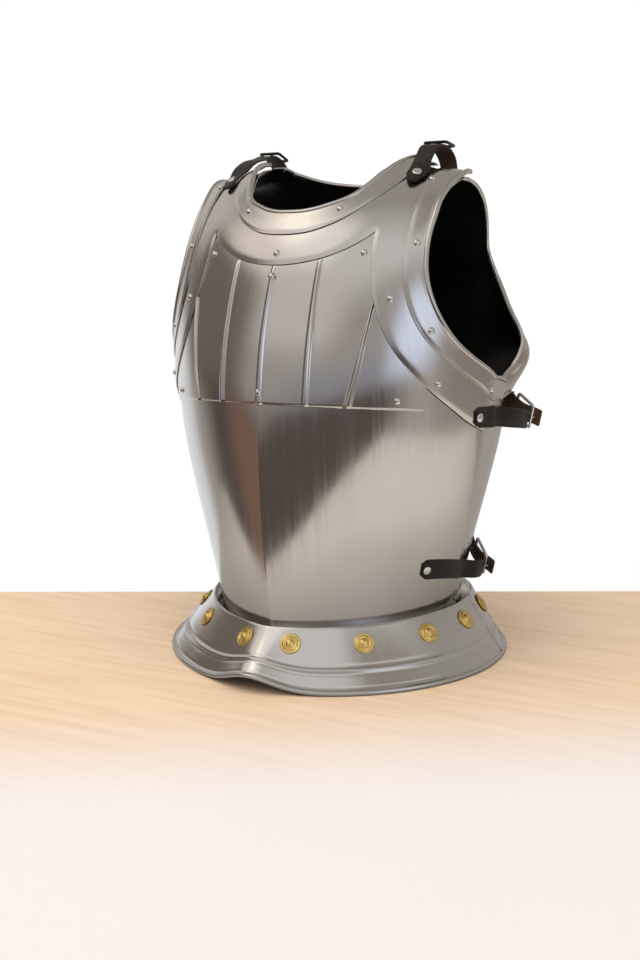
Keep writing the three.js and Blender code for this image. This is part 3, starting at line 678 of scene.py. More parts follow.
class Effects:
    """Shared shader effects, each a node group that is built once."""

    def __init__(self) -> None:
        """Builds every group."""
        self.brushing = self.make_brushing()
        self.handling = self.make_handling()
        self.grain = self.make_grain()

    @staticmethod
    def start(
        name: str, inputs: Sequence[tuple[str, str, Any]], outputs: Sequence[tuple[str, str]]
    ) -> tuple[bpy.types.NodeTree, Graph, bpy.types.Node, bpy.types.Node]:
        """Opens a group with its sockets, and gives its tree, graph, input node and output node.

        Args:
            name: the group's name.
            inputs: name, kind and value of each input.
            outputs: name and kind of each output.

        Returns:
            The tree, its graph, its input node and its output node.
        """
        tree = bpy.data.node_groups.new(name, "ShaderNodeTree")
        for label, kind, value in inputs:
            socket = tree.interface.new_socket(label, in_out="INPUT", socket_type=f"NodeSocket{kind}")
            socket.default_value = value
        for label, kind in outputs:
            tree.interface.new_socket(label, in_out="OUTPUT", socket_type=f"NodeSocket{kind}")
        entry, leave = tree.nodes.new("NodeGroupInput"), tree.nodes.new("NodeGroupOutput")
        return tree, Graph(tree), entry, leave

    def make_brushing(self) -> bpy.types.NodeTree:
        """Fine upright lines left by polishing: a height and a mask.

        Returns:
            The node group.
        """
        tree, graph, entry, leave = self.start(
            "brushed lines",
            [("Fineness", "Float", 110.0), ("Length", "Float", 9.0)],
            [("Height", "Float"), ("Mask", "Float")],
        )
        place = graph.node("SeparateXYZ", {0: graph.node("TexCoord").outputs["Object"]}).outputs
        around = graph.sum("ARCTAN2", place[0], graph.sum("MULTIPLY", place[1], -1.0))
        across = graph.sum("MULTIPLY", around, entry.outputs[0])
        along = graph.sum("MULTIPLY", place[2], entry.outputs[1])
        flat = graph.node("CombineXYZ", {0: across, 1: along}).outputs[0]
        fine = graph.node("TexNoise", {"Vector": flat, "Scale": 1.0, "Detail": 3.0}).outputs[0]
        broad = graph.node("TexNoise", {"Vector": flat, "Scale": 0.2, "Detail": 2.0}).outputs[0]
        graph.tree.links.new(graph.sum("ADD", fine, broad), leave.inputs[0])
        graph.tree.links.new(graph.ramp(broad, 0.35, 0.65), leave.inputs[1])
        return tree

    def make_handling(self) -> bpy.types.NodeTree:
        """Soft cloudy tone and a few faint smears from handling.

        Returns:
            The node group.
        """
        tree, graph, entry, leave = self.start(
            "handling marks",
            [("Cloud size", "Float", 9.0), ("Smear size", "Float", 60.0)],
            [("Cloud", "Float"), ("Smear", "Float")],
        )
        place = graph.node("TexCoord").outputs["Object"]
        cloud = graph.node("TexNoise", {"Vector": place, "Scale": entry.outputs[0], "Detail": 3.0})
        smear = graph.node("TexNoise", {"Vector": place, "Scale": entry.outputs[1], "Distortion": 0.8})
        graph.tree.links.new(graph.ramp(cloud.outputs[0], 0.35, 0.68), leave.inputs[0])
        graph.tree.links.new(graph.ramp(smear.outputs[0], 0.55, 0.75), leave.inputs[1])
        return tree

    def make_grain(self) -> bpy.types.NodeTree:
        """Leather grain: pebbles with fine creases.

        Returns:
            The node group.
        """
        tree, graph, entry, leave = self.start(
            "leather grain",
            [("Pebble size", "Float", 900.0)],
            [("Height", "Float"), ("Crease", "Float")],
        )
        place = graph.node("TexCoord").outputs["Object"]
        pebbles = graph.node("TexVoronoi", {"Vector": place, "Scale": entry.outputs[0]})
        fine = graph.node("TexNoise", {"Vector": place, "Scale": 300.0, "Detail": 4.0})
        graph.tree.links.new(graph.sum("ADD", pebbles.outputs[0], fine.outputs[0]), leave.inputs[0])
        graph.tree.links.new(graph.ramp(fine.outputs[0], 0.45, 0.7), leave.inputs[1])
        return tree

    def place(self, graph: Graph, tree: bpy.types.NodeTree, **values: float) -> bpy.types.Node:
        """Puts a group into a material with its own values.

        Args:
            graph: the material's graph.
            tree: the group.
            values: input values, with _ for a space in the input's name.

        Returns:
            The group's node.
        """
        made = graph.tree.nodes.new("ShaderNodeGroup")
        made.node_tree = tree
        for name, value in values.items():
            made.inputs[name.replace("_", " ")].default_value = value
        return made


@dataclass(frozen=True)
class Finish:
    """What every finish has: a name and a plain material with one Principled shader."""

    name: str

    def open(self) -> tuple[bpy.types.Material, Graph, bpy.types.Node]:
        """A new material, its graph and its shader node.

        Returns:
            The material, its graph and its Principled node.
        """
        material = bpy.data.materials.new(self.name)
        material.use_nodes = True
        return material, Graph(material.node_tree), material.node_tree.nodes["Principled BSDF"]


@dataclass(frozen=True)
class Steel(Finish):
    """Polished steel with fine brushed lines."""

    light: tuple[float, float, float]
    dark: tuple[float, float, float]
    roughness: float
    streak: float
    lines: float

    def make(self, effects: Effects) -> bpy.types.Material:
        """Builds the material.

        Args:
            effects: the shared effects.

        Returns:
            The material.
        """
        material, graph, shader = self.open()
        brushed = effects.place(graph, effects.brushing, Fineness=130.0, Length=7.0)
        marks = effects.place(graph, effects.handling, Cloud_size=5.0)
        tone = graph.blend(marks.outputs["Cloud"], rgba(*self.dark), rgba(*self.light))
        lined = graph.sum("MULTIPLY_ADD", brushed.outputs["Mask"], self.streak, self.roughness)
        worn = graph.sum("MULTIPLY_ADD", marks.outputs["Cloud"], self.streak * 0.5, lined)
        bump = graph.node(
            "Bump", {"Height": brushed.outputs["Height"], "Strength": self.lines, "Distance": 0.0002}
        )
        links = graph.tree.links
        links.new(tone, shader.inputs["Base Color"])
        links.new(worn, shader.inputs["Roughness"])
        links.new(bump.outputs[0], shader.inputs["Normal"])
        shader.inputs["Metallic"].default_value = 1.0
        return material


@dataclass(frozen=True)
class Leather(Finish):
    """Dark smooth leather with worn, lighter creases."""

    colour: tuple[float, float, float]
    worn: tuple[float, float, float]
    roughness: float

    def make(self, effects: Effects) -> bpy.types.Material:
        """Builds the material.

        Args:
            effects: the shared effects.

        Returns:
            The material.
        """
        material, graph, shader = self.open()
        grain = effects.place(graph, effects.grain)
        marks = effects.place(graph, effects.handling, Cloud_size=45.0, Smear_size=130.0)
        tone = graph.blend(marks.outputs["Cloud"], rgba(*self.colour), rgba(*self.worn))
        tone = graph.blend(graph.sum("MULTIPLY", grain.outputs["Crease"], 0.35), tone, rgba(*self.worn))
        rough = graph.sum("MULTIPLY_ADD", marks.outputs["Smear"], 0.14, self.roughness)
        bump = graph.node("Bump", {"Height": grain.outputs["Height"], "Strength": 0.22, "Distance": 0.0004})
        links = graph.tree.links
        links.new(tone, shader.inputs["Base Color"])
        links.new(rough, shader.inputs["Roughness"])
        links.new(bump.outputs[0], shader.inputs["Normal"])
        shader.inputs["Specular IOR Level"].default_value = 0.32
        return material


@dataclass(frozen=True)
class Paint(Finish):
    """Glossy black paint, a little uneven."""

    colour: tuple[float, float, float]
    roughness: float

    def make(self, effects: Effects) -> bpy.types.Material:
        """Builds the material.

        Args:
            effects: the shared effects.

        Returns:
            The material.
        """
        material, graph, shader = self.open()
        marks = effects.place(graph, effects.handling, Cloud_size=14.0, Smear_size=40.0)
        rough = graph.sum("MULTIPLY_ADD", marks.outputs["Cloud"], 0.15, self.roughness)
        tone = graph.blend(marks.outputs["Smear"], rgba(*self.colour), rgba(*(2 * c for c in self.colour)))
        graph.tree.links.new(tone, shader.inputs["Base Color"])
        graph.tree.links.new(rough, shader.inputs["Roughness"])
        return material


class Finishes:
    """All materials of the cuirass."""

    def __init__(self) -> None:
        """Builds them."""
        effects = Effects()
        self.plate = Steel(
            "plate steel", (0.66, 0.64, 0.615), (0.60, 0.575, 0.55), 0.14, 0.05, 0.05
        ).make(effects)
        self.skirt = Steel(
            "skirt steel", (0.68, 0.66, 0.64), (0.60, 0.58, 0.56), 0.11, 0.07, 0.08
        ).make(effects)
        self.rivet = Steel(
            "rivet steel", (0.86, 0.84, 0.81), (0.74, 0.72, 0.70), 0.11, 0.05, 0.02
        ).make(effects)
        self.brass = Steel(
            "polished brass", (0.92, 0.68, 0.25), (0.72, 0.48, 0.14), 0.17, 0.06, 0.04
        ).make(effects)
        self.chrome = Steel(
            "bright plating", (0.78, 0.78, 0.79), (0.68, 0.68, 0.70), 0.07, 0.03, 0.01
        ).make(effects)
        self.leather = Leather(
            "dark leather", (0.006, 0.0045, 0.004), (0.013, 0.0095, 0.0075), 0.42
        ).make(effects)
        self.edge = Leather(
            "raw leather back", (0.05, 0.026, 0.016), (0.10, 0.055, 0.033), 0.7
        ).make(effects)
        self.paint = Paint("black paint", (0.004, 0.004, 0.004), 0.22).make(effects)


# ---------------------------------------------------------------- body plates


Places = Sequence[tuple[float, float]]


def lofted(left: Places, right: Places, rows: int, columns: Array) -> tuple[Array, Array]:
    """Places between two outlines that run side by side.

    Args:
        left: phi and z along one outline.
        right: phi and z along the other, row for row.
        rows: how many rows to give back.
        columns: shares across, from 0 at left to 1 at right.

    Returns:
        Arrays of phi and of z, rows by columns.
    """
    both = through(np.hstack([np.asarray(left, float), np.asarray(right, float)]), rows)
    phi = both[:, 0:1] * (1 - columns) + both[:, 2:3] * columns
    z = both[:, 1:2] * (1 - columns) + both[:, 3:4] * columns
    return phi, z


@dataclass(frozen=True)
class Rivet:
    """A domed rivet at a place."""

    node: str
    phi: float
    z: float
    layer: float
    paired: bool = True


@dataclass
class RivetSet:
    """The domed rivets of the breastplate."""

    finishes: Finishes
    radius: float = 3.6
    rise: float = 2.5
    rivets: tuple[Rivet, ...] = (
        Rivet("neck_rivet", 19.6, 467, LAYERS.bands),
        Rivet("yoke_rivet", 0, 428, LAYERS.yoke, False),
        Rivet("ridge_rivet_upper", 0, 406.5, LAYERS.chest + 2.2, False),
        Rivet("ridge_rivet_lower", 0, 296.5, LAYERS.chest + 2.2, False),
        Rivet("chest_rivet_upper", 31.2, 428, LAYERS.chest),
        Rivet("chest_rivet_lower", 46, 287, LAYERS.chest),
        Rivet("yoke_rivet_upper", 41.6, 384, LAYERS.yoke),
        Rivet("yoke_rivet_lower", 59.8, 301, LAYERS.yoke),
        Rivet("arm_rivet_1", 52.3, 497, LAYERS.bands),
        Rivet("arm_rivet_2", 49.3, 434, LAYERS.bands),
        Rivet("arm_rivet_3", 56, 352, LAYERS.bands),
        Rivet("arm_rivet_4", 86.5, 288, LAYERS.bands),
    )

    def profile(self) -> list[tuple[float, float]]:
        """Radius and height from the foot to the crown.

        Returns:
            Rows of radius and height.
        """
        rows = [(self.radius, -0.8), (self.radius, 0.0), (self.radius * 0.97, 0.25)]
        for k in range(1, 8):
            angle = k / 8 * math.pi / 2
            rows.append((self.radius * 0.93 * math.cos(angle), 0.3 + (self.rise - 0.3) * math.sin(angle)))
        rows.append((0.02, self.rise))
        return rows

    def build(self) -> None:
        """Makes one piece for each rivet node."""
        for rivet in self.rivets:
            for side in Side if rivet.paired else [Side.LEFT]:
                foot = TORSO.place(rivet.phi, rivet.z, rivet.layer + LAYERS.sheet, side.value)
                outward = TORSO.normal(np.float64(rivet.phi), np.float64(rivet.z)) * [side.value, 1, 1]
                shape = Shape()
                shape.grid(turned(self.profile(), 20, foot, outward), wrap=True, caps=True)
                node = f"{rivet.node}_{side.word}" if rivet.paired else rivet.node
                piece = shape.build(f"{node}_head", [self.finishes.rivet])
                publish(piece, Slot.RIVET, node)


@dataclass
class Breastplate:
    """The lower breastplate, fluted chest plate, yoke and the bands with their rolled rims."""

    finishes: Finishes
    flute_rise: float = 2.3
    flute_half: float = 4.1
    roll: float = 2.7
    flutes: Places = ((0.0, 0.95), (0.31, 0.95), (0.55, 0.86))  # share across the plate, share where it ends
    chest_columns: tuple[tuple[float, float, float, float, float], ...] = (
        (0, 0, 285, 0, 426), (0.31, 16.9, 284, 16.9, 432), (0.43, 24, 283, 27, 447),
        (0.5, 27.4, 282.4, 35.8, 453), (0.53, 29.2, 282, 37.2, 424), (0.55, 30.3, 282, 37.4, 408),
        (0.68, 38, 280, 42.5, 368), (0.84, 46, 278, 48.5, 342), (1, 55, 275, 56, 318),
    )  # share across the plate, then phi and z at its lower and at its upper edge
    base_rows: tuple[tuple[float, float, float, float], ...] = (
        (0, 46, 94, 46), (0, 80, 94, 80), (0, 115, 94, 115), (0, 150, 94, 150), (0, 185, 94, 185),
        (0, 220, 94, 220), (0, 262, 94, 258), (0, 300, 94, 293), (0, 325, 85, 307), (0, 350, 71, 328),
        (0, 378, 61.2, 355), (0, 405, 55.6, 383), (0, 428, 53, 409), (0, 448, 53.4, 432),
        (0, 465, 55, 453), (10.6, 467.5, 56.5, 467), (19.6, 475, 59.5, 481), (26, 487, 63.5, 493),
        (29, 497, 69.5, 504), (31.5, 508, 75, 511), (33, 516, 80, 517), (33.5, 521, 83, 521),
    )
    neck_edge: Places = (
        (0, 445), (5, 445.4), (10, 447), (14, 450), (17.5, 453.5), (20.8, 457.7), (23.6, 462.5), (26.2, 467),
        (28.5, 471.5), (33, 481), (38, 493), (42, 505), (45, 515), (46, 521),
    )
    neck_rim: Places = (
        (0, 465), (5.5, 465.4), (10.6, 467.5), (15.2, 471), (19.6, 475), (23.3, 480.5), (25.2, 485),
        (26.5, 489), (27.5, 492), (29, 497.5), (30.8, 504), (32, 511), (33, 516.5), (33.5, 521),
    )
    arm_edge: Places = (
        (53, 521), (52, 514), (51, 506), (49.8, 496), (48.6, 484), (47.2, 468), (46, 451), (45.2, 432),
        (44.9, 410), (46.5, 385), (49.8, 363), (54.6, 343.5), (61, 326), (68.6, 310), (78, 294), (87, 279),
        (93.5, 270),
    )
    arm_rim: Places = (
        (83, 521), (80, 517), (74, 510), (68, 502), (62.5, 491), (58, 476), (55.8, 460), (53.8, 443),
        (52.9, 424), (53.6, 400), (56.6, 376), (61.2, 355), (67, 337), (75, 321), (84, 308), (90, 299),
        (94, 293),
    )
    yoke_chest: Places = (
        (0, 417.4), (5, 417.8), (10, 419.3), (15, 422), (19.5, 425.5), (23.4, 429.7), (27, 434.5),
        (30.4, 440), (33.8, 446.7),
    )
    yoke_throat: Places = (
        (0, 452), (4.5, 452.4), (9, 454), (12.6, 456), (16, 459), (19, 462.7), (22, 467), (24.5, 471.5),
        (27, 476),
    )
    yoke_spine: Places = ((33.8, 446.7), (36.5, 463), (40, 480), (44, 496), (48, 509), (50, 517))
    yoke_collar: Places = ((27, 476), (30.5, 487), (34, 499), (38, 508), (41, 515), (42, 518.5))
    yoke_shoulder: Places = (
        (48, 440), (49.5, 464), (52, 483), (55.5, 498), (60, 508), (64, 514.5),
    )
    yoke_breast: Places = (
        (33.8, 446.7), (33.7, 436), (33.9, 425), (34.7, 402), (36.3, 380), (39.4, 357), (44.7, 331.5),
        (51, 311), (59.2, 289.4), (66.5, 273.5), (75, 257.5), (83, 247.5), (89, 243.5), (93.2, 246.5),
    )
    yoke_armpit: Places = (
        (48, 440), (47.9, 430), (47.8, 420), (48.6, 400), (51, 378), (55, 358), (61, 339), (67.5, 324),
        (75, 310), (81, 300), (87, 291), (91.5, 284), (93.8, 278.5), (94.3, 274),
    )

    def build(self) -> None:
        """Makes every plate of the breast."""
        self.build_base()
        self.build_chest()
        self.build_yoke()
        self.build_neck_band()
        for side in Side:
            self.build_arm_band(side)

    def dress(self, shape: Shape, name: str, mirror: bool, *nodes: str) -> None:
        """Turns an outer skin into sheet steel, black inside.

        Args:
            shape: the outer skin.
            name: the piece's name.
            mirror: whether its other half is a mirror image.
            nodes: the CAD nodes that it replaces.
        """
        piece = shape.build(name, [self.finishes.plate, self.finishes.paint])
        sheet_steel(piece, mirror)
        publish(piece, Slot.PLATE, *nodes)

    def build_base(self) -> None:
        """The lower plate, with its middle ridge."""
        rows = np.array(self.base_rows)
        columns = np.concatenate([np.linspace(0, 0.12, 14), np.linspace(0.135, 0.985, 60), [0.994, 1.0]])
        phi, z = lofted(rows[:, 0:2], rows[:, 2:4], 150, columns)
        shape = Shape()
        shape.grid(skin(TORSO.place(phi, z, LAYERS.base + LAYERS.sheet), np.array([0, -1, 0])))
        self.dress(shape, "lower_breastplate", True, "breastplate")

    def build_chest(self) -> None:
        """The upper plate; each flute is a raised rib with steep flanks."""
        columns = np.array(self.chest_columns, float)
        knots, low, high = columns[:, 0], columns[:, 1:3], columns[:, 3:5]
        across = np.unique(np.concatenate([
            np.linspace(0, 1, 100),
            *[centre + np.linspace(-0.06, 0.06, 37) for centre, _ in self.flutes],
        ]).clip(0, 1))
        low_at = np.stack([np.interp(across, knots, low[:, k]) for k in (0, 1)], -1)
        high_at = np.stack([np.interp(across, knots, high[:, k]) for k in (0, 1)], -1)
        up = np.concatenate([[0.0, 0.003, 0.007, 0.012], np.linspace(0.02, 1.0, 70)])
        phi = low_at[:, 0] * (1 - up[:, None]) + high_at[:, 0] * up[:, None]
        z = low_at[:, 1] * (1 - up[:, None]) + high_at[:, 1] * up[:, None]
        surface = TORSO.place(phi, z)
        rise = np.zeros_like(phi)
        for centre, end in self.flutes:
            line_low = [np.interp(centre, knots, low[:, k]) for k in (0, 1)]
            line_high = [np.interp(centre, knots, high[:, k]) for k in (0, 1)]
            ridge = TORSO.place(
                line_low[0] * (1 - up) + line_high[0] * up, line_low[1] * (1 - up) + line_high[1] * up
            )
            away = np.linalg.norm(surface - ridge[:, None, :], axis=-1)
            wide = self.flute_half * (1.12 - 0.35 * up[:, None])
            crest = 1 - smooth(0.12, 1.0, away / wide)
            rise += self.flute_rise * crest * (1 - smooth(end - 0.07, end, up))[:, None]
        low_edge = TORSO.place(phi[:1], z[:1])
        away = np.linalg.norm(surface - low_edge, axis=-1)
        points = TORSO.place(phi, z, LAYERS.chest + LAYERS.sheet + rise - self.pressed(away, 1.8))
        shape = Shape()
        shape.grid(skin(points, np.array([0, -1, 0])))
        self.dress(shape, "fluted_chest_plate", True, "chest_plate")

    @staticmethod
    def pressed(away: Array, reach: float = 5.0) -> Array:
        """How far a plate is drawn down onto the one beneath, at a distance from its free edge.

        Args:
            away: distances from the free edge.
            reach: how far from the edge the plate is drawn down.

        Returns:
            How much lower the plate lies at each distance.
        """
        return 0.85 * LAYERS.gap * (1 - smooth(0.3, reach, away))

    def build_yoke(self) -> None:
        """One plate in four patches round its pointed corner, welded into one sheet."""
        share = np.concatenate([[0.0, 0.03, 0.08], np.linspace(0.14, 1.0, 12)])
        shape = Shape()
        for outer, inner, rows, free in (
            (self.yoke_chest, self.yoke_throat, 50, True),
            (self.yoke_spine, self.yoke_collar, 40, False),
            (self.yoke_spine, self.yoke_shoulder, 40, False),
            (self.yoke_breast, self.yoke_armpit, 90, True),
        ):
            left, right = through(outer, rows), through(inner, rows)
            phi = left[:, :1] * (1 - share) + right[:, :1] * share
            z = left[:, 1:] * (1 - share) + right[:, 1:] * share
            surface = TORSO.place(phi, z)
            away = np.linalg.norm(surface - surface[:, :1], axis=-1)
            height = LAYERS.yoke + LAYERS.sheet - (self.pressed(away) if free else 0.0)
            if not free:
                corner = np.linalg.norm(surface - surface[0, 0], axis=-1)
                height = height - self.pressed(corner)
            points = TORSO.place(phi, z, height)
            middle = TORSO.normal(phi[rows // 2, 5:6], z[rows // 2, 5:6])[0]
            shape.grid(skin(points, middle, rows // 2, 5))
        shape.weld()
        self.dress(shape, "riveted_yoke", True, "yoke")

    def band(self, edge: Places, rim: Places, rows: int, side: int) -> Shape:
        """A band from its flat edge to its rolled rim.

        Args:
            edge: its flat edge.
            rim: its rim.
            rows: places along it.
            side: 1 for the wearer's left, -1 for the right.

        Returns:
            The outer skin.
        """
        columns = np.concatenate([[0.0, 0.03], np.linspace(0.08, 1.0, 18)])
        phi, z = lofted(edge, rim, rows, columns)
        surface = TORSO.place(phi, z, 0.0, side)
        away = np.linalg.norm(surface - surface[:, :1], axis=-1)
        rise = 0.7 * smooth(0.7, 1.0, columns) - self.pressed(away)
        points = TORSO.place(phi, z, LAYERS.bands + LAYERS.sheet + rise, side)
        middle = TORSO.normal(phi[rows // 2 : rows // 2 + 1, :1], z[rows // 2 : rows // 2 + 1, :1])[0, 0]
        shape = Shape()
        shape.grid(skin(points, middle * [side, 1, 1], rows // 2))
        return shape

    def rolled(self, name: str, rim: Places, rows: int, side: int, mirror: bool) -> None:
        """The rolled rim, a round bead along the opening.

        Args:
            name: the piece's name.
            rim: the opening's outline.
            rows: places along it.
            side: 1 for the wearer's left, -1 for the right.
            mirror: whether it carries on over the other half.
        """
        line = through(rim, rows)
        path = TORSO.place(line[:, 0], line[:, 1], LAYERS.bands + LAYERS.sheet - 0.6, side)
        bead(name, path, self.roll, 14, mirror, self.finishes.plate)

    def build_neck_band(self) -> None:
        """The band round the neck."""
        self.dress(self.band(self.neck_edge, self.neck_rim, 80, 1), "neck_band_plate", True, "neck_band")
        self.rolled("neck_roll", self.neck_rim, 70, 1, True)

    def build_arm_band(self, side: Side) -> None:
        """The band round one armhole.

        Args:
            side: the arm's side.
        """
        shape = self.band(self.arm_edge, self.arm_rim, 110, side.value)
        self.dress(shape, f"arm_band_{side.word}_plate", False, f"arm_band_{side.word}")
        self.rolled(f"arm_roll_{side.word}", self.arm_rim, 130, side.value, False)


@dataclass
class Backplate:
    """The plain backplate with rolled edges at the neck and the armholes."""

    finishes: Finishes
    roll: float = 2.3
    rows: tuple[tuple[float, float, float, float], ...] = (
        (180, 46, 88, 46), (180, 80, 88, 80), (180, 115, 88, 115), (180, 150, 88, 150), (180, 185, 88, 185),
        (180, 220, 88, 220), (180, 262, 88, 258), (180, 300, 88, 283), (180, 318, 97.5, 288),
        (180, 336, 104, 300), (180, 356, 108.5, 320), (180, 380, 114, 347), (180, 405, 124, 374),
        (180, 430, 133, 400), (180, 455, 136, 423), (180, 477, 131, 446), (180, 495, 123.5, 467.5),
        (170, 500, 117.5, 485), (160, 508, 115, 500), (153, 515, 116, 510.5), (151, 519.5, 119, 518),
        (152, 521, 120, 521), (152, 523, 122, 521.5),
    )

    @staticmethod
    def swell(phi: Array, z: Array) -> Array:
        """How far the plate stands out behind the armpit."""
        return 22 * bell(phi - 113, 25) * bell(z - 314, 34) * smooth(99, 114, phi)

    def height(self, phi: Array, z: Array) -> Array:
        """Outer face over the torso surface."""
        return LAYERS.back + LAYERS.sheet + self.swell(phi, z)

    def build(self) -> None:
        """Makes the plate and its rolled edges."""
        table = np.array(self.rows, float)
        columns = np.concatenate([np.linspace(0, 0.985, 70), [0.994, 1.0]])
        phi, z = lofted(table[:, 0:2], table[:, 2:4], 160, columns)
        shape = Shape()
        shape.grid(skin(TORSO.place(phi, z, self.height(phi, z)), np.array([0, 1, 0])))
        piece = shape.build("plain_backplate", [self.finishes.plate, self.finishes.paint])
        sheet_steel(piece, True)
        publish(piece, Slot.PLATE, "backplate")
        neck = [(180, 495), *[tuple(row[:2]) for row in table[17:21]]]
        self.roll_edge("back_neck_roll", neck, 1, True)
        arm = [tuple(row[2:4]) for row in table[8:21]]
        for side in Side:
            self.roll_edge(f"back_arm_roll_{side.word}", arm, side.value, False)

    def roll_edge(self, name: str, outline: Places, side: int, mirror: bool) -> None:
        """A round bead along an outline.

        Args:
            name: the piece's name.
            outline: its places.
            side: 1 for the wearer's left, -1 for the right.
            mirror: whether it carries on over the other half.
        """
        line = through(outline, 90)
        height = self.height(line[:, 0], line[:, 1]) - LAYERS.sheet / 2
        path = TORSO.place(line[:, 0], line[:, 1], height, side)
        bead(name, path, self.roll, 12, mirror, self.finishes.plate)


# ---------------------------------------------------------------- waist skirt


@dataclass
class Skirt:
    """The flared waist skirt in two halves, with its bead line, rolled edge and brass rosettes."""

    finishes: Finishes
    top: float = 58.0
    shelf: float = 47.0
    clearance: float = 6.5
    half_width: float = 189.0
    front: float = 173.0
    back: float = 148.0
    centre: float = -3.0
    front_power: float = 1.9
    back_power: float = 2.2
    roll: float = 2.4
    arch_height: float = 15.0
    arch_reach: float = 7.0
    arch_spread: float = 37.0
    bead_at: float = 0.7
    bead_rise: float = 1.3
    seam: float = 99.0
    joint: float = 0.2
    steps: int = 180
    rosette_fall: float = 0.3
    rosette_phis: tuple[float, ...] = (
        -165, -137, -112, -89, -67, -42, -10, 12.8, 39.5, 64.5, 87, 111, 137, 165,
    )

    rosette_sides: int = 72
    rosette_profile: tuple[tuple[float, float], ...] = (
        (10.6, 0.0), (11.0, 0.5), (10.7, 1.2), (9.6, 1.5), (8.8, 1.1), (8.1, 1.3), (7.3, 2.3),
        (6.6, 2.7), (5.9, 2.3), (5.2, 1.7), (4.5, 2.2), (3.6, 3.2), (2.4, 3.9), (1.2, 4.2), (0.02, 4.3),
    )  # radius and height, from the rim to the middle
    milling: float = 0.045
    milled_rings: int = 4

    def foot(self, phi: Array) -> Array:
        """Lowest line of the rolled edge.

        Args:
            phi: degrees round the body.

        Returns:
            Points in millimetres.
        """
        angle = np.radians(phi)
        chest = np.cos(angle) > 0
        power = np.where(chest, self.front_power, self.back_power)
        x = self.half_width * np.sign(np.sin(angle)) * np.abs(np.sin(angle)) ** (2 / power)
        depth = np.abs(np.cos(angle)) ** (2 / power)
        y = self.centre + np.where(chest, -self.front, self.back) * depth
        lift = np.where(chest, bell(x, self.arch_spread), 0.0)
        return np.stack([x, y - self.arch_reach * lift, self.arch_height * lift], -1)

    def body(self, phi: Array, z: float, height: Any) -> Array:
        """Points beside the body plates, on either side."""
        points = TORSO.place(np.abs(phi), np.full_like(phi, z), height)
        return points * np.stack([np.where(phi < 0, -1.0, 1.0), np.ones_like(phi), np.ones_like(phi)], -1)

    def wall(self, phi: Array, fall: float, rise: float = 0.0) -> Array:
        """Outer face: fall is 0 at the upper edge and 1 at the rolled edge.

        Args:
            phi: degrees round the body.
            fall: share of the way down.
            rise: distance outward from the face.

        Returns:
            Points in millimetres.
        """
        top = self.body(phi, self.top, LAYERS.sheet + self.clearance)
        top[..., 2] = self.top
        foot = self.foot(phi)
        foot[..., 2] += 2 * self.roll
        bend = top * 0.58 + foot * 0.42
        bend[..., 2] -= 3
        point = (1 - fall) ** 2 * top + 2 * fall * (1 - fall) * bend + fall**2 * foot
        down = unit(foot - top)
        level = (foot - top) * [1, 1, 0]
        level = unit(level)
        outward = unit(level - down * (level * down).sum(-1, keepdims=True))
        return point + outward * rise

    def outline(self, phi: Array) -> Array:
        """The closed section at each phi, as rows of points.

        Args:
            phi: degrees round the body.

        Returns:
            Rows, one for each phi.
        """
        rows: list[Array] = []
        plate = np.where(np.abs(phi) < 104, LAYERS.base, LAYERS.back)
        lip = self.body(phi, self.shelf, plate + LAYERS.sheet + 1.1)
        lip[..., 2] = self.shelf
        shelf = self.wall(phi, 0.0, -LAYERS.sheet)
        shelf[..., 2] = self.shelf
        rows += [lip, shelf, self.wall(phi, 0.0, -LAYERS.sheet)]
        rows += [self.wall(phi, 0.0, -0.25), self.wall(phi, 0.012, 0.0)]
        for fall in np.linspace(0.05, 0.94, 40):
            crest = self.bead_rise * bell(fall - self.bead_at, 0.022)
            groove = -0.35 * (bell(fall - self.bead_at + 0.06, 0.02) + bell(fall - self.bead_at - 0.06, 0.02))
            rows.append(self.wall(phi, float(fall), float(crest + groove)))
        foot = self.foot(phi)
        level = unit((foot - self.wall(phi, 0.0)) * [1, 1, 0])
        up = np.array([0.0, 0.0, 1.0])
        for angle in np.radians(np.linspace(118, -205, 22)):
            out, high = math.cos(angle), math.sin(angle)
            rows.append(foot + level * self.roll * out + up * max(self.roll * (1 + high), 0.0))
        for fall in (0.93, 0.75, 0.5, 0.22):
            rows.append(self.wall(phi, fall, -LAYERS.sheet))
        low = lip.copy()
        low[..., 2] = self.shelf - LAYERS.sheet
        rows.append(low)
        return np.stack(rows, 1)

    def build(self) -> None:
        """Makes both halves and the rosettes."""
        for name, start, end in (
            ("skirt_front", -self.seam, self.seam),
            ("skirt_back", self.seam, 360 - self.seam),
        ):
            phi = np.linspace(start + self.joint, end - self.joint, self.steps)
            phi = np.where(phi > 180, phi - 360, phi)
            shape = Shape()
            shape.grid(self.outline(phi)[:, ::-1], wrap=True, caps=True)
            piece = shape.build(f"{name}_plate", [self.finishes.skirt])
            publish(piece, Slot.SKIRT, name)
        for number, phi in enumerate(self.rosette_phis, start=1):
            self.build_rosette(number, phi)

    def build_rosette(self, number: int, phi: float) -> None:
        """A turned brass rosette: milled rim, raised ring and a domed middle.

        Args:
            number: its number.
            phi: its place round the body.
        """

        def at(turn: float, fall: float) -> Array:
            """A place on the wall, some degrees on from the rosette."""
            return self.wall(np.array([phi + turn]), fall)[0]

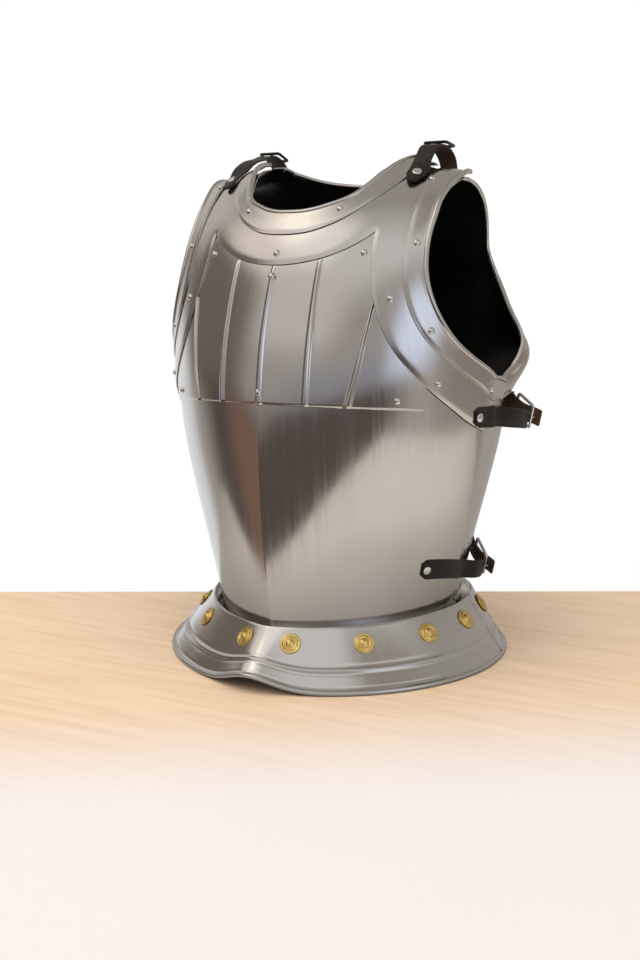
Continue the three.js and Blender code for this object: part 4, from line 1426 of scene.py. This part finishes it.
        fall = self.rosette_fall
        sides = self.rosette_sides
        outward = unit(np.cross(at(1, fall) - at(-1, fall), at(0, fall - 0.05) - at(0, fall + 0.05)))
        foot = at(0, fall) + outward * 0.2
        rings = turned(self.rosette_profile, sides, foot, outward)
        pinch = 1 - self.milling * (1 + np.cos(np.arange(sides) * math.pi))[:, None] / 2
        for k in range(self.milled_rings):
            radial = rings[k] - foot
            along = (radial @ outward)[:, None] * outward
            rings[k] = foot + along + (radial - along) * pinch
        shape = Shape()
        shape.grid(rings, wrap=True, caps=True)
        node = f"rosette_{number:02d}"
        publish(shape.build(f"{node}_disc", [self.finishes.brass]), Slot.BRASS, node)


# ---------------------------------------------------------------- straps and buckles


@dataclass(frozen=True)
class Station:
    """A cross section of a strap: its middle underneath, the way across and the way out."""

    middle: Array
    across: Array
    out: Array

    def mirrored(self, side: int) -> "Station":
        """The same station on the given side."""
        turn = np.array([side, 1.0, 1.0])
        return Station(self.middle * turn, self.across * turn, self.out * turn)


class Tip(Enum):
    """How a strap's end is cut."""

    SQUARE = 0
    CLIPPED = 1
    POINTED = 2


@dataclass
class StrapMaker:
    """Cuts leather strips along stations."""

    finishes: Finishes
    thickness: float = 2.2
    section: tuple[tuple[float, float], ...] = (
        (-0.46, 0.0), (0.46, 0.0), (0.49, 0.12), (0.5, 0.35), (0.5, 0.65), (0.49, 0.88), (0.46, 1.0),
        (0.40, 0.99), (0.37, 0.93), (0.34, 0.99), (0.2, 1.0), (0.0, 1.0), (-0.2, 1.0), (-0.34, 0.99),
        (-0.37, 0.93), (-0.40, 0.99), (-0.46, 1.0), (-0.49, 0.88), (-0.5, 0.65), (-0.5, 0.35),
        (-0.49, 0.12),
    )  # shares of the width and of the thickness, with a creased line along each edge
    rivet_profile: tuple[tuple[float, float], ...] = (
        (1.0, 0.0), (1.02, 0.5), (0.94, 0.95), (0.7, 1.25), (0.4, 1.4), (0.005, 1.45),
    )  # share of the radius, and height
    raw_sides: tuple[int, ...] = (0, 1, 2, 3, 18, 19, 20)  # the section's sides that are raw leather

    def width_share(self, run: Array, total: float, width: float, start: Tip, end: Tip) -> Array:
        """Share of the full width at each distance along the strap.

        Args:
            run: distances along the strap.
            total: the strap's length.
            width: its full width.
            start: cut of the first end.
            end: cut of the last end.

        Returns:
            One share for each distance.
        """
        share = np.ones_like(run)
        for tip, away in ((start, run), (end, total - run)):
            if tip is Tip.CLIPPED:
                share = np.minimum(share, 0.62 + 0.38 * np.clip(away / (width * 0.28), 0, 1))
            elif tip is Tip.POINTED:
                share = np.minimum(share, 0.30 + 0.70 * np.clip(away / (width * 0.6), 0, 1) ** 0.8)
            else:
                share = np.minimum(share, 0.94 + 0.06 * np.clip(away / 1.5, 0, 1))
        return share

    def strip(self, stations: Sequence[Station], width: float, start: Tip, end: Tip) -> Shape:
        """A strip with rounded edges.

        Args:
            stations: cross sections in order.
            width: full width.
            start: cut of the first end.
            end: cut of the last end.

        Returns:
            The shape; finish 0 is the face and finish 1 the raw underside.
        """
        scale = 10  # makes a turn of the strap weigh as much as its way
        raw = np.array([np.concatenate([s.middle, s.across * scale, s.out * scale]) for s in stations])
        count = 90
        fine = through(raw, count)
        middle, across, out = fine[:, 0:3], unit(fine[:, 3:6]), fine[:, 6:9]
        out = unit(out - across * (out * across).sum(-1, keepdims=True))
        run = np.concatenate([[0.0], np.cumsum(np.linalg.norm(np.diff(middle, axis=0), axis=1))])
        share = self.width_share(run, run[-1], width, start, end)
        thin = self.thickness
        rows = []
        for sideways, up in self.section:
            rows.append(middle + across * (sideways * width * share)[:, None] + out * (up * thin))
        shape = Shape()
        shape.grid(np.stack(rows, 1), wrap=True, caps=True)
        for index in range((count - 1) * len(self.section)):
            if index % len(self.section) in self.raw_sides:
                shape.finishes[index] = 1
        return shape

    def make(
        self, name: str, node: str, stations: Sequence[Station], width: float, start: Tip, end: Tip
    ) -> None:
        """Cuts one strap and hides the CAD node that it replaces.

        Args:
            name: the piece's name.
            node: the CAD node that it replaces.
            stations: cross sections in order.
            width: full width.
            start: cut of the first end.
            end: cut of the last end.
        """
        shape = self.strip(stations, width, start, end)
        piece = shape.build(name, [self.finishes.leather, self.finishes.edge])
        publish(piece, Slot.LEATHER, node)

    def rivet(self, stations: Sequence[Station], away: float, radius: float, name: str) -> None:
        """A flat rivet near the start of a strap.

        Args:
            stations: the strap's cross sections.
            away: distance from its end.
            radius: the head's radius.
            name: the piece's name.
        """
        first, second = stations[0], stations[1]
        along = unit(second.middle - first.middle)
        foot = first.middle + along * away + first.out * (self.thickness - 0.1)
        rows = [(radius * share, height) for share, height in self.rivet_profile]
        shape = Shape()
        shape.grid(turned(rows, 28, foot, first.out), wrap=True, caps=True)
        publish(shape.build(name, [self.finishes.rivet]), Slot.RIVET)


def wire_loop(corners: Array, bend: float, count: int = 10) -> Array:
    """A closed path through corners with rounded bends.

    Args:
        corners: the corners in order.
        bend: how far each bend reaches along a side.
        count: points of a bend.

    Returns:
        Points along the loop.
    """
    path: list[Array] = []
    number = len(corners)
    for k in range(number):
        here, before, after = corners[k], corners[k - 1], corners[(k + 1) % number]
        start = here + unit(before - here) * bend
        end = here + unit(after - here) * bend
        for t in np.linspace(0, 1, count):
            path.append((1 - t) ** 2 * start + 2 * t * (1 - t) * here + t**2 * end)
    return np.array(path)


@dataclass
class Buckle:
    """A rectangular frame of rounded wire with a prong; prong_rise below 1 lays the prong flatter."""

    finish: bpy.types.Material
    slot: Slot
    wire: float = 1.6
    prong_rise: float = 1.0

    def build(
        self, node: str, length: float, width: float, middle: Array, along: Array, across: Array, out: Array
    ) -> None:
        """Makes the frame and its prong.

        Args:
            node: the frame's CAD node.
            length: outer length, along the strap.
            width: outer width, across the strap.
            middle: centre of the frame.
            along: direction from the front bar, over which the prong lies, to the rear bar.
            across: direction over the strap's width.
            out: direction away from the body.
        """
        along, across, out = unit(along), unit(across), unit(out)
        a, b = length / 2 - self.wire, width / 2 - self.wire
        turns = ((-1, -1), (1, -1), (1, 1), (-1, 1))
        corners = np.array([middle + along * i * a + across * j * b for i, j in turns])
        shape = Shape()
        shape.grid(tube(wire_loop(corners, 3.4), self.wire, 12, closed=True), wrap=True)
        rise = ((1.0, 1.2), (0.45, 2.6), (-0.35, 3.4), (-0.9, 2.9), (-1.12, 1.9))
        way = [middle + along * a * share + out * high * self.prong_rise for share, high in rise]
        prong = through(way, 26)
        shape.grid(tube(prong, np.linspace(1.5, 1.0, 26), 10), wrap=True, caps=True)
        publish(shape.build(f"{node}_wire", [self.finish]), self.slot, node)


@dataclass(frozen=True)
class Fastening:
    """Where a side fastening runs: the buckle's front bar and its turn, then the two straps."""

    word: str
    bar: tuple[float, float, float]
    heading: float
    climb: float
    front_places: tuple[tuple[float, float, float], ...]
    front_line: tuple[tuple[float, float, float], ...]
    back_places: tuple[tuple[float, float, float], ...]
    back_line: tuple[tuple[float, float, float], ...]


ON_BASE = LAYERS.base + LAYERS.sheet + 0.2
ON_YOKE = LAYERS.yoke + LAYERS.sheet + 0.2
ON_BANDS = LAYERS.bands + LAYERS.sheet + 0.2
ON_BACK = LAYERS.back + LAYERS.sheet + 0.2


@dataclass
class SideFastenings:
    """The two buckled straps on each side."""

    finishes: Finishes
    width: float = 21.0
    buckle_length: float = 34.0
    tongue: tuple[tuple[float, float], ...] = ((37, -4.4), (24, -4.8), (12, -2), (2, 4.5), (-4, 7))
    fastenings: tuple[Fastening, ...] = (
        Fastening(
            "upper", (198, 83, 247), 37, 20,
            ((77, 263, ON_YOKE), (80, 262, ON_YOKE), (83.5, 261, ON_YOKE + 0.5), (87, 260, ON_BANDS),
             (91, 258.5, ON_BANDS)),
            ((193, 36, 254.5), (196.5, 56, 250.5), (195.5, 71, 247), (192.5, 78.5, 246), (186.5, 80.5, 246)),
            ((150, 257, ON_BACK), (144, 257, ON_BACK + 0.3), (138, 257, ON_BACK + 1.5)),
            ((154, 127, 258),),
        ),
        Fastening(
            "lower", (150.5, 66, 83), 46, 28,
            ((64, 106, ON_BASE), (70, 104, ON_BASE), (76, 101, ON_BASE), (82, 98, ON_BASE),
             (88, 94.5, ON_BASE), (92, 92, ON_BASE)),
            ((151, 40, 87), (151, 52, 84.5), (147, 60.5, 83), (140.5, 62.5, 83)),
            ((146, 108, ON_BACK), (140, 107, ON_BACK + 0.3), (134, 106, ON_BACK + 1.5)),
            ((116.5, 99.5, 104.5),),
        ),
    )

    def stations(
        self, places: Sequence[Any], line: Sequence[Any], lean: Array, inward: bool, side: int
    ) -> list[Station]:
        """Stations on the body, then along a free line that turns until it lies across the buckle.

        Args:
            places: phi, z and height of each place on the body.
            line: the free points after them.
            lean: the way across the strap at the buckle.
            inward: whether the line runs towards the front.
            side: 1 for the wearer's left, -1 for the right.

        Returns:
            Stations in order.
        """
        found: list[Station] = []
        for phi, z, height in places:
            across = unit(TORSO.place(phi, z + 8, height) - TORSO.place(phi, z - 8, height))
            out = TORSO.normal(np.float64(phi), np.float64(z))
            out = unit(out - across * np.dot(out, across))
            found.append(Station(TORSO.place(phi, z, height), across, out))
        start = found[-1]
        points = [np.array(point, float) for point in line]
        for k, point in enumerate(points):
            ahead = points[min(k + 1, len(points) - 1)]
            behind = points[k - 1] if k > 0 else start.middle
            share = min((k + 1) / 3, 1.0)
            across = unit(start.across * (1 - share) + lean * share)
            out = unit(np.cross(unit(ahead - behind), across)) * (-1 if inward else 1)
            found.append(Station(point, across, out))
        return [station.mirrored(side) for station in found]

    def build(self) -> None:
        """Makes every strap and buckle of the sides."""
        maker = StrapMaker(self.finishes)
        up = np.array([0.0, 0.0, 1.0])
        for side in Side:
            turn = np.array([side.value, 1, 1])
            for job in self.fastenings:
                heading, climb = math.radians(job.heading), math.radians(job.climb)
                level = np.array([-math.cos(heading), math.sin(heading), 0.0])
                outward = np.array([math.sin(heading), math.cos(heading), 0.0])
                line = level * math.cos(climb) + up * math.sin(climb)
                lean = up * math.cos(climb) - level * math.sin(climb)
                bar = np.array(job.bar, float)
                tail = f"{job.word}_{side.word}"
                front = self.stations(job.front_places, job.front_line, lean, False, side.value)
                maker.make(f"front_leather_{tail}", f"front_strap_{tail}", front, self.width,
                           Tip.CLIPPED, Tip.SQUARE)
                way = [bar + line * along + outward * out for along, out in self.tongue]
                back = self.stations(job.back_places, [*job.back_line, *way], lean, True, side.value)
                maker.make(f"back_leather_{tail}", f"back_strap_{tail}", back, self.width - 2,
                           Tip.CLIPPED, Tip.SQUARE)
                maker.rivet(front, 5.5, 4.6, f"front_strap_rivet_{tail}")
                maker.rivet(back, 5.5, 4.6, f"back_strap_rivet_{tail}")
                middle = bar + line * self.buckle_length / 2
                Buckle(self.finishes.chrome, Slot.CHROME).build(
                    f"buckle_{tail}", self.buckle_length, self.width + 8, middle * turn, line * turn,
                    lean * turn, outward * turn,
                )


@dataclass(frozen=True)
class Arch:
    """A shoulder strap's way over the shoulder: (y, z) of its underside, its landing and its buckle."""

    side: Side
    line: tuple[tuple[float, float], ...]
    landing: tuple[float, ...]
    buckle: tuple[float, float]
    fall: float


@dataclass
class ShoulderFastenings:
    """The strap and buckle on each shoulder."""

    finishes: Finishes
    x: float = 109.0
    width: float = 20.0
    on_chest: tuple[float, ...] = (492, 499, 506)
    arches: tuple[Arch, ...] = (
        Arch(
            Side.LEFT, ((12, 513.5), (20, 521), (29, 528), (40, 529), (58, 525), (69, 517)), (499, 489, 478),
            (52, 531.2), 0.2,
        ),
        Arch(
            Side.RIGHT, ((12, 513), (20, 517.5), (29, 521), (50, 524.5), (66, 527.5), (80, 523), (92, 512)),
            (489, 478, 467), (79, 528), 0.42,
        ),
    )

    def lie(self, z: float, chest: bool, height: float) -> Station:
        """A station on the plates.

        Args:
            z: height.
            chest: whether it lies on the chest.
            height: distance over the torso surface.

        Returns:
            The station.
        """

        def at(shift: float) -> Array:
            """A place on the plate, some way across the strap."""
            phi = TORSO.phi_at(self.x + shift, z, chest)
            return TORSO.place(phi, z, height)

        across = unit(at(self.width / 2) - at(-self.width / 2))
        out = TORSO.normal(np.float64(TORSO.phi_at(self.x, z, chest)), np.float64(z))
        return Station(at(0), across, unit(out - across * np.dot(out, across)))

    def build(self) -> None:
        """Makes both shoulders."""
        maker = StrapMaker(self.finishes)
        level = np.array([1.0, 0.0, 0.0])
        for arch in self.arches:
            over: list[Station] = []
            for k, (y, z) in enumerate(arch.line):
                behind = arch.line[max(k - 1, 0)]
                ahead = arch.line[min(k + 1, len(arch.line) - 1)]
                along = unit(np.array([0.0, ahead[0] - behind[0], ahead[1] - behind[1]]))
                over.append(Station(np.array([self.x, y, z], float), level, np.cross(level, along)))
            stations = [
                *[self.lie(z, True, LAYERS.bands + LAYERS.sheet + 0.6) for z in self.on_chest],
                *over,
                *[self.lie(z, False, LAYERS.back + LAYERS.sheet + 1.4) for z in arch.landing],
            ]
            side = arch.side
            mirrored = [station.mirrored(side.value) for station in stations]
            maker.make(f"shoulder_leather_{side.word}", f"shoulder_strap_{side.word}", mirrored, self.width,
                       Tip.POINTED, Tip.CLIPPED)
            maker.rivet(mirrored, 15.0, 4.8, f"shoulder_strap_rivet_{side.word}")
            maker.rivet(mirrored[::-1], 7.0, 4.8, f"shoulder_strap_back_rivet_{side.word}")
            middle = np.array([self.x * side.value, *arch.buckle])
            along = np.array([0.0, 1.0, -arch.fall])
            Buckle(self.finishes.paint, Slot.PAINT, prong_rise=0.1).build(
                f"shoulder_buckle_{side.word}", 24.0, self.width + 8, middle, along, level,
                np.array([0.0, arch.fall, 1.0]),
            )


# ---------------------------------------------------------------- stage


@dataclass(frozen=True)
class SoftBox:
    """A soft studio light."""

    name: str
    place: tuple[float, float, float]
    wide: float
    tall: float
    power: float
    aim: tuple[float, float, float] = (0.0, 0.0, 0.27)
    tint: tuple[float, float, float] = (1.0, 0.985, 0.96)


@dataclass(frozen=True)
class Patch:
    """A part of the room that differs in tone, by heading from the chest and by height of direction."""

    heading: float
    wide: float
    soft: float
    low: float
    high: float
    blur: float
    colour: tuple[float, float, float]


@dataclass
class Studio:
    """Table, light and camera."""

    azimuth: float = 30.7
    elevation: float = 12.1
    roll: float = -1.95
    aside: float = -14.0
    above: float = 177.0
    distance: float = 1457.0
    lens: float = 48.75
    table_height: float = -0.2
    table: tuple[tuple[float, float], ...] = (
        (-760, -290), (-200, -290), (180, -600), (520, -715), (860, -745), (860, 579), (0, 192),
        (-760, -150),
    )
    apron: tuple[tuple[float, float], ...] = (
        (-760, -290), (-200, -290), (180, -600), (520, -715), (860, -745), (860, -2500), (-760, -2500),
    )
    wood: tuple[float, float, float] = (0.83, 0.63, 0.44)
    worn_wood: tuple[float, float, float] = (0.82, 0.78, 0.77)
    # the table's tone as the steel reflects it; near the cuirass and behind it, floor() darkens it with
    # painted shade
    mirrored_wood: tuple[float, float, float] = (0.75, 0.71, 0.65)
    wall: tuple[float, float, float] = (0.47, 0.435, 0.405)
    ceiling: tuple[float, float, float] = (0.38, 0.355, 0.33)
    backdrop: tuple[float, float, float] = (1.0, 1.0, 1.0)
    patches: tuple[Patch, ...] = (
        Patch(35, 62, 20, 0.56, 0.93, 0.12, (0.74, 0.72, 0.70)),
        Patch(77, 32, 10, 0.79, 1.5, 0.05, (0.33, 0.295, 0.265)),
        Patch(-56, 34, 14, 0.58, 0.80, 0.05, (0.98, 0.89, 0.80)),
        Patch(-56, 34, 14, 0.79, 0.93, 0.05, (1.6, 1.48, 1.33)),
        Patch(-17, 24, 14, 0.32, 0.70, 0.11, (0.72, 0.68, 0.64)),
        Patch(-78, 27, 10, -0.04, 0.54, 0.08, (0.19, 0.16, 0.135)),
        Patch(22, 34, 12, 0.02, 0.20, 0.05, (0.37, 0.375, 0.42)),
        Patch(61, 13, 9, 0.04, 0.42, 0.09, (0.98, 1.08, 1.32)),
        Patch(-14, 68, 12, -1.2, 0.035, 0.045, (0.115, 0.092, 0.082)),
        Patch(-50, 8, 8, -1.0, 0.02, 0.06, (0.26, 0.155, 0.11)),
        Patch(-122, 20, 9, -1.0, 0.04, 0.10, (0.90, 0.92, 0.95)),
        Patch(116, 30, 12, -1.2, 0.06, 0.08, (0.34, 0.295, 0.26)),
        Patch(-116, 16, 8, 0.30, 0.62, 0.08, (0.64, 0.61, 0.57)),
        Patch(-26, 15, 8, 0.72, 0.93, 0.05, (1.08, 1.05, 1.0)),
    )
    boxes: tuple[SoftBox, ...] = (
        SoftBox("key box", (-1.7, -1.5, 1.5), 0.9, 1.5, 12),
        SoftBox("fill box", (2.2, -1.1, 1.3), 0.7, 1.6, 7, tint=(0.86, 0.92, 1.0)),
        SoftBox("top box", (0.1, -0.3, 2.3), 1.8, 1.8, 36),
    )

    def build(self) -> None:
        """Makes the whole stage."""
        self.floor()
        self.lights()
        self.camera()

    def floor(self) -> None:
        """A plain pale table top, short behind the cuirass; its near part shows to the camera only. In
        reflections it is a plain grey, with painted shade near the cuirass and behind it.
        """
        material = bpy.data.materials.new("pale table top")
        material.use_nodes = True
        graph = Graph(material.node_tree)
        shader = material.node_tree.nodes["Principled BSDF"]
        place = graph.node("TexCoord").outputs["Object"]
        near = graph.node("VectorMath", {0: place, 1: (0.51, -0.86, 0.0)}, operation="DOT_PRODUCT")
        board = graph.node("VectorMath", {0: place, 1: (6.0, 90.0, 1.0)}, operation="MULTIPLY").outputs[0]
        figure = graph.node("TexNoise", {"Vector": board, "Scale": 1.0, "Detail": 4.0}).outputs[0]
        tone = graph.blend(graph.ramp(figure, 0.3, 0.75), rgba(*self.wood), rgba(0.74, 0.53, 0.35))
        tone = graph.blend(graph.ramp(near.outputs["Value"], 0.16, 0.42), tone, rgba(*self.worn_wood))
        seen = graph.node("LightPath").outputs["Is Camera Ray"]
        # Reflections see the table as a plain grey, not the wood. close is 0 near the cuirass (within 0.18 to
        # 0.46 m) and behind it, and there the grey is darkened to 0.48 as painted shade cast by the cuirass.
        away = graph.node("VectorMath", {0: place}, operation="LENGTH").outputs["Value"]
        close = graph.sum(
            "MULTIPLY", graph.ramp(away, 0.18, 0.46), graph.ramp(near.outputs["Value"], -0.38, 0.18)
        )
        shaded = rgba(*(0.48 * part for part in self.mirrored_wood))
        mirrored = graph.blend(close, shaded, rgba(*self.mirrored_wood))
        tone = graph.blend(seen, mirrored, tone)
        graph.tree.links.new(tone, shader.inputs["Base Color"])
        shader.inputs["Roughness"].default_value = 0.4
        for name, outline in (("table_top", self.table), ("table_apron", self.apron)):
            shape = Shape()
            corners = np.array([(x, y, self.table_height) for x, y in outline], float)
            shape.add(corners, [list(range(len(corners)))])
            piece = shape.build(name, [material])
            piece.visible_glossy = name == "table_top"

    def area(self, box: "SoftBox") -> None:
        """A soft box that looks at the middle of the cuirass.

        Args:
            box: the light.
        """
        data = bpy.data.lights.new(box.name, "AREA")
        data.shape = "RECTANGLE"
        data.size, data.size_y, data.energy = box.wide, box.tall, box.power
        data.color = box.tint
        lamp = bpy.data.objects.new(box.name, data)
        lamp.location = box.place
        aim = Vector(box.aim) - Vector(box.place)
        lamp.rotation_euler = aim.to_track_quat("-Z", "Y").to_euler()
        lamp.visible_camera = False
        lamp.visible_glossy = False
        bpy.context.scene.collection.objects.link(lamp)

    def lights(self) -> None:
        """Soft boxes in a bright room that is dark and warm low in front."""
        for box in self.boxes:
            self.area(box)
        world = bpy.data.worlds.new("room")
        bpy.context.scene.world = world
        world.use_nodes = True
        graph = Graph(world.node_tree)
        direction = graph.node("TexCoord").outputs["Generated"]
        height = graph.node("SeparateXYZ", {0: direction}).outputs[2]
        level = graph.node("VectorMath", {0: direction, 1: (1.0, 1.0, 0.0)}, operation="MULTIPLY").outputs[0]
        heading = graph.node("VectorMath", {0: level}, operation="NORMALIZE").outputs[0]

        def facing(degrees: float, wide: float, soft: float) -> bpy.types.NodeSocket:
            """A mask of the directions within wide degrees of a heading, with a soft border.

            Args:
                degrees: the heading, from the chest towards the wearer's left.
                wide: half the width.
                soft: half the border's width.

            Returns:
                The mask's socket.
            """
            turn = math.radians(degrees)
            way = (math.sin(turn), -math.cos(turn), 0.0)
            dot = graph.node("VectorMath", {0: heading, 1: way}, operation="DOT_PRODUCT").outputs["Value"]
            return graph.ramp(dot, math.cos(math.radians(wide + soft)), math.cos(math.radians(wide - soft)))

        tone = graph.blend(graph.ramp(height, -0.1, 0.9), rgba(*self.wall), rgba(*self.ceiling))
        for patch in self.patches:
            mask = graph.sum(
                "MULTIPLY",
                facing(patch.heading, patch.wide, patch.soft),
                graph.sum(
                    "MULTIPLY",
                    graph.ramp(height, patch.low - patch.blur, patch.low + patch.blur),
                    graph.ramp(height, patch.high - patch.blur, patch.high + patch.blur, 1.0, 0.0),
                ),
            )
            tone = graph.blend(mask, tone, rgba(*patch.colour))
        seen = graph.node("LightPath").outputs["Is Camera Ray"]
        tone = graph.blend(seen, tone, rgba(*self.backdrop))
        world.node_tree.links.new(tone, world.node_tree.nodes["Background"].inputs[0])
        bpy.context.scene.view_settings.view_transform = "Standard"

    def camera(self) -> None:
        """The camera, turned a little about its own axis."""
        azimuth, elevation = math.radians(self.azimuth), math.radians(self.elevation)
        right = Vector((math.cos(azimuth), math.sin(azimuth), 0))
        back = Vector((
            math.sin(azimuth) * math.cos(elevation),
            -math.cos(azimuth) * math.cos(elevation),
            math.sin(elevation),
        ))
        up = back.cross(right)
        turn = math.radians(self.roll)
        across = right * math.cos(turn) + up * math.sin(turn)
        upward = up * math.cos(turn) - right * math.sin(turn)
        place = right * self.aside + up * self.above + back * self.distance + Vector((0, SET_BACK, 0))
        data = bpy.data.cameras.new("view")
        data.lens = self.lens
        eye = bpy.data.objects.new("view", data)
        matrix = Matrix((across, upward, back)).transposed().to_4x4()
        matrix.translation = place * MM
        eye.matrix_world = matrix
        bpy.context.scene.collection.objects.link(eye)
        bpy.context.scene.camera = eye


def main() -> None:
    """Builds the cuirass and its stage."""
    logging.basicConfig(level=logging.INFO, format="%(name)s: %(message)s")
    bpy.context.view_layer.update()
    finishes = Finishes()
    for assembly in (
        Breastplate(finishes),
        RivetSet(finishes),
        Backplate(finishes),
        Skirt(finishes),
        SideFastenings(finishes),
        ShoulderFastenings(finishes),
        Studio(),
    ):
        assembly.build()


if __name__ == "__main__":
    main()
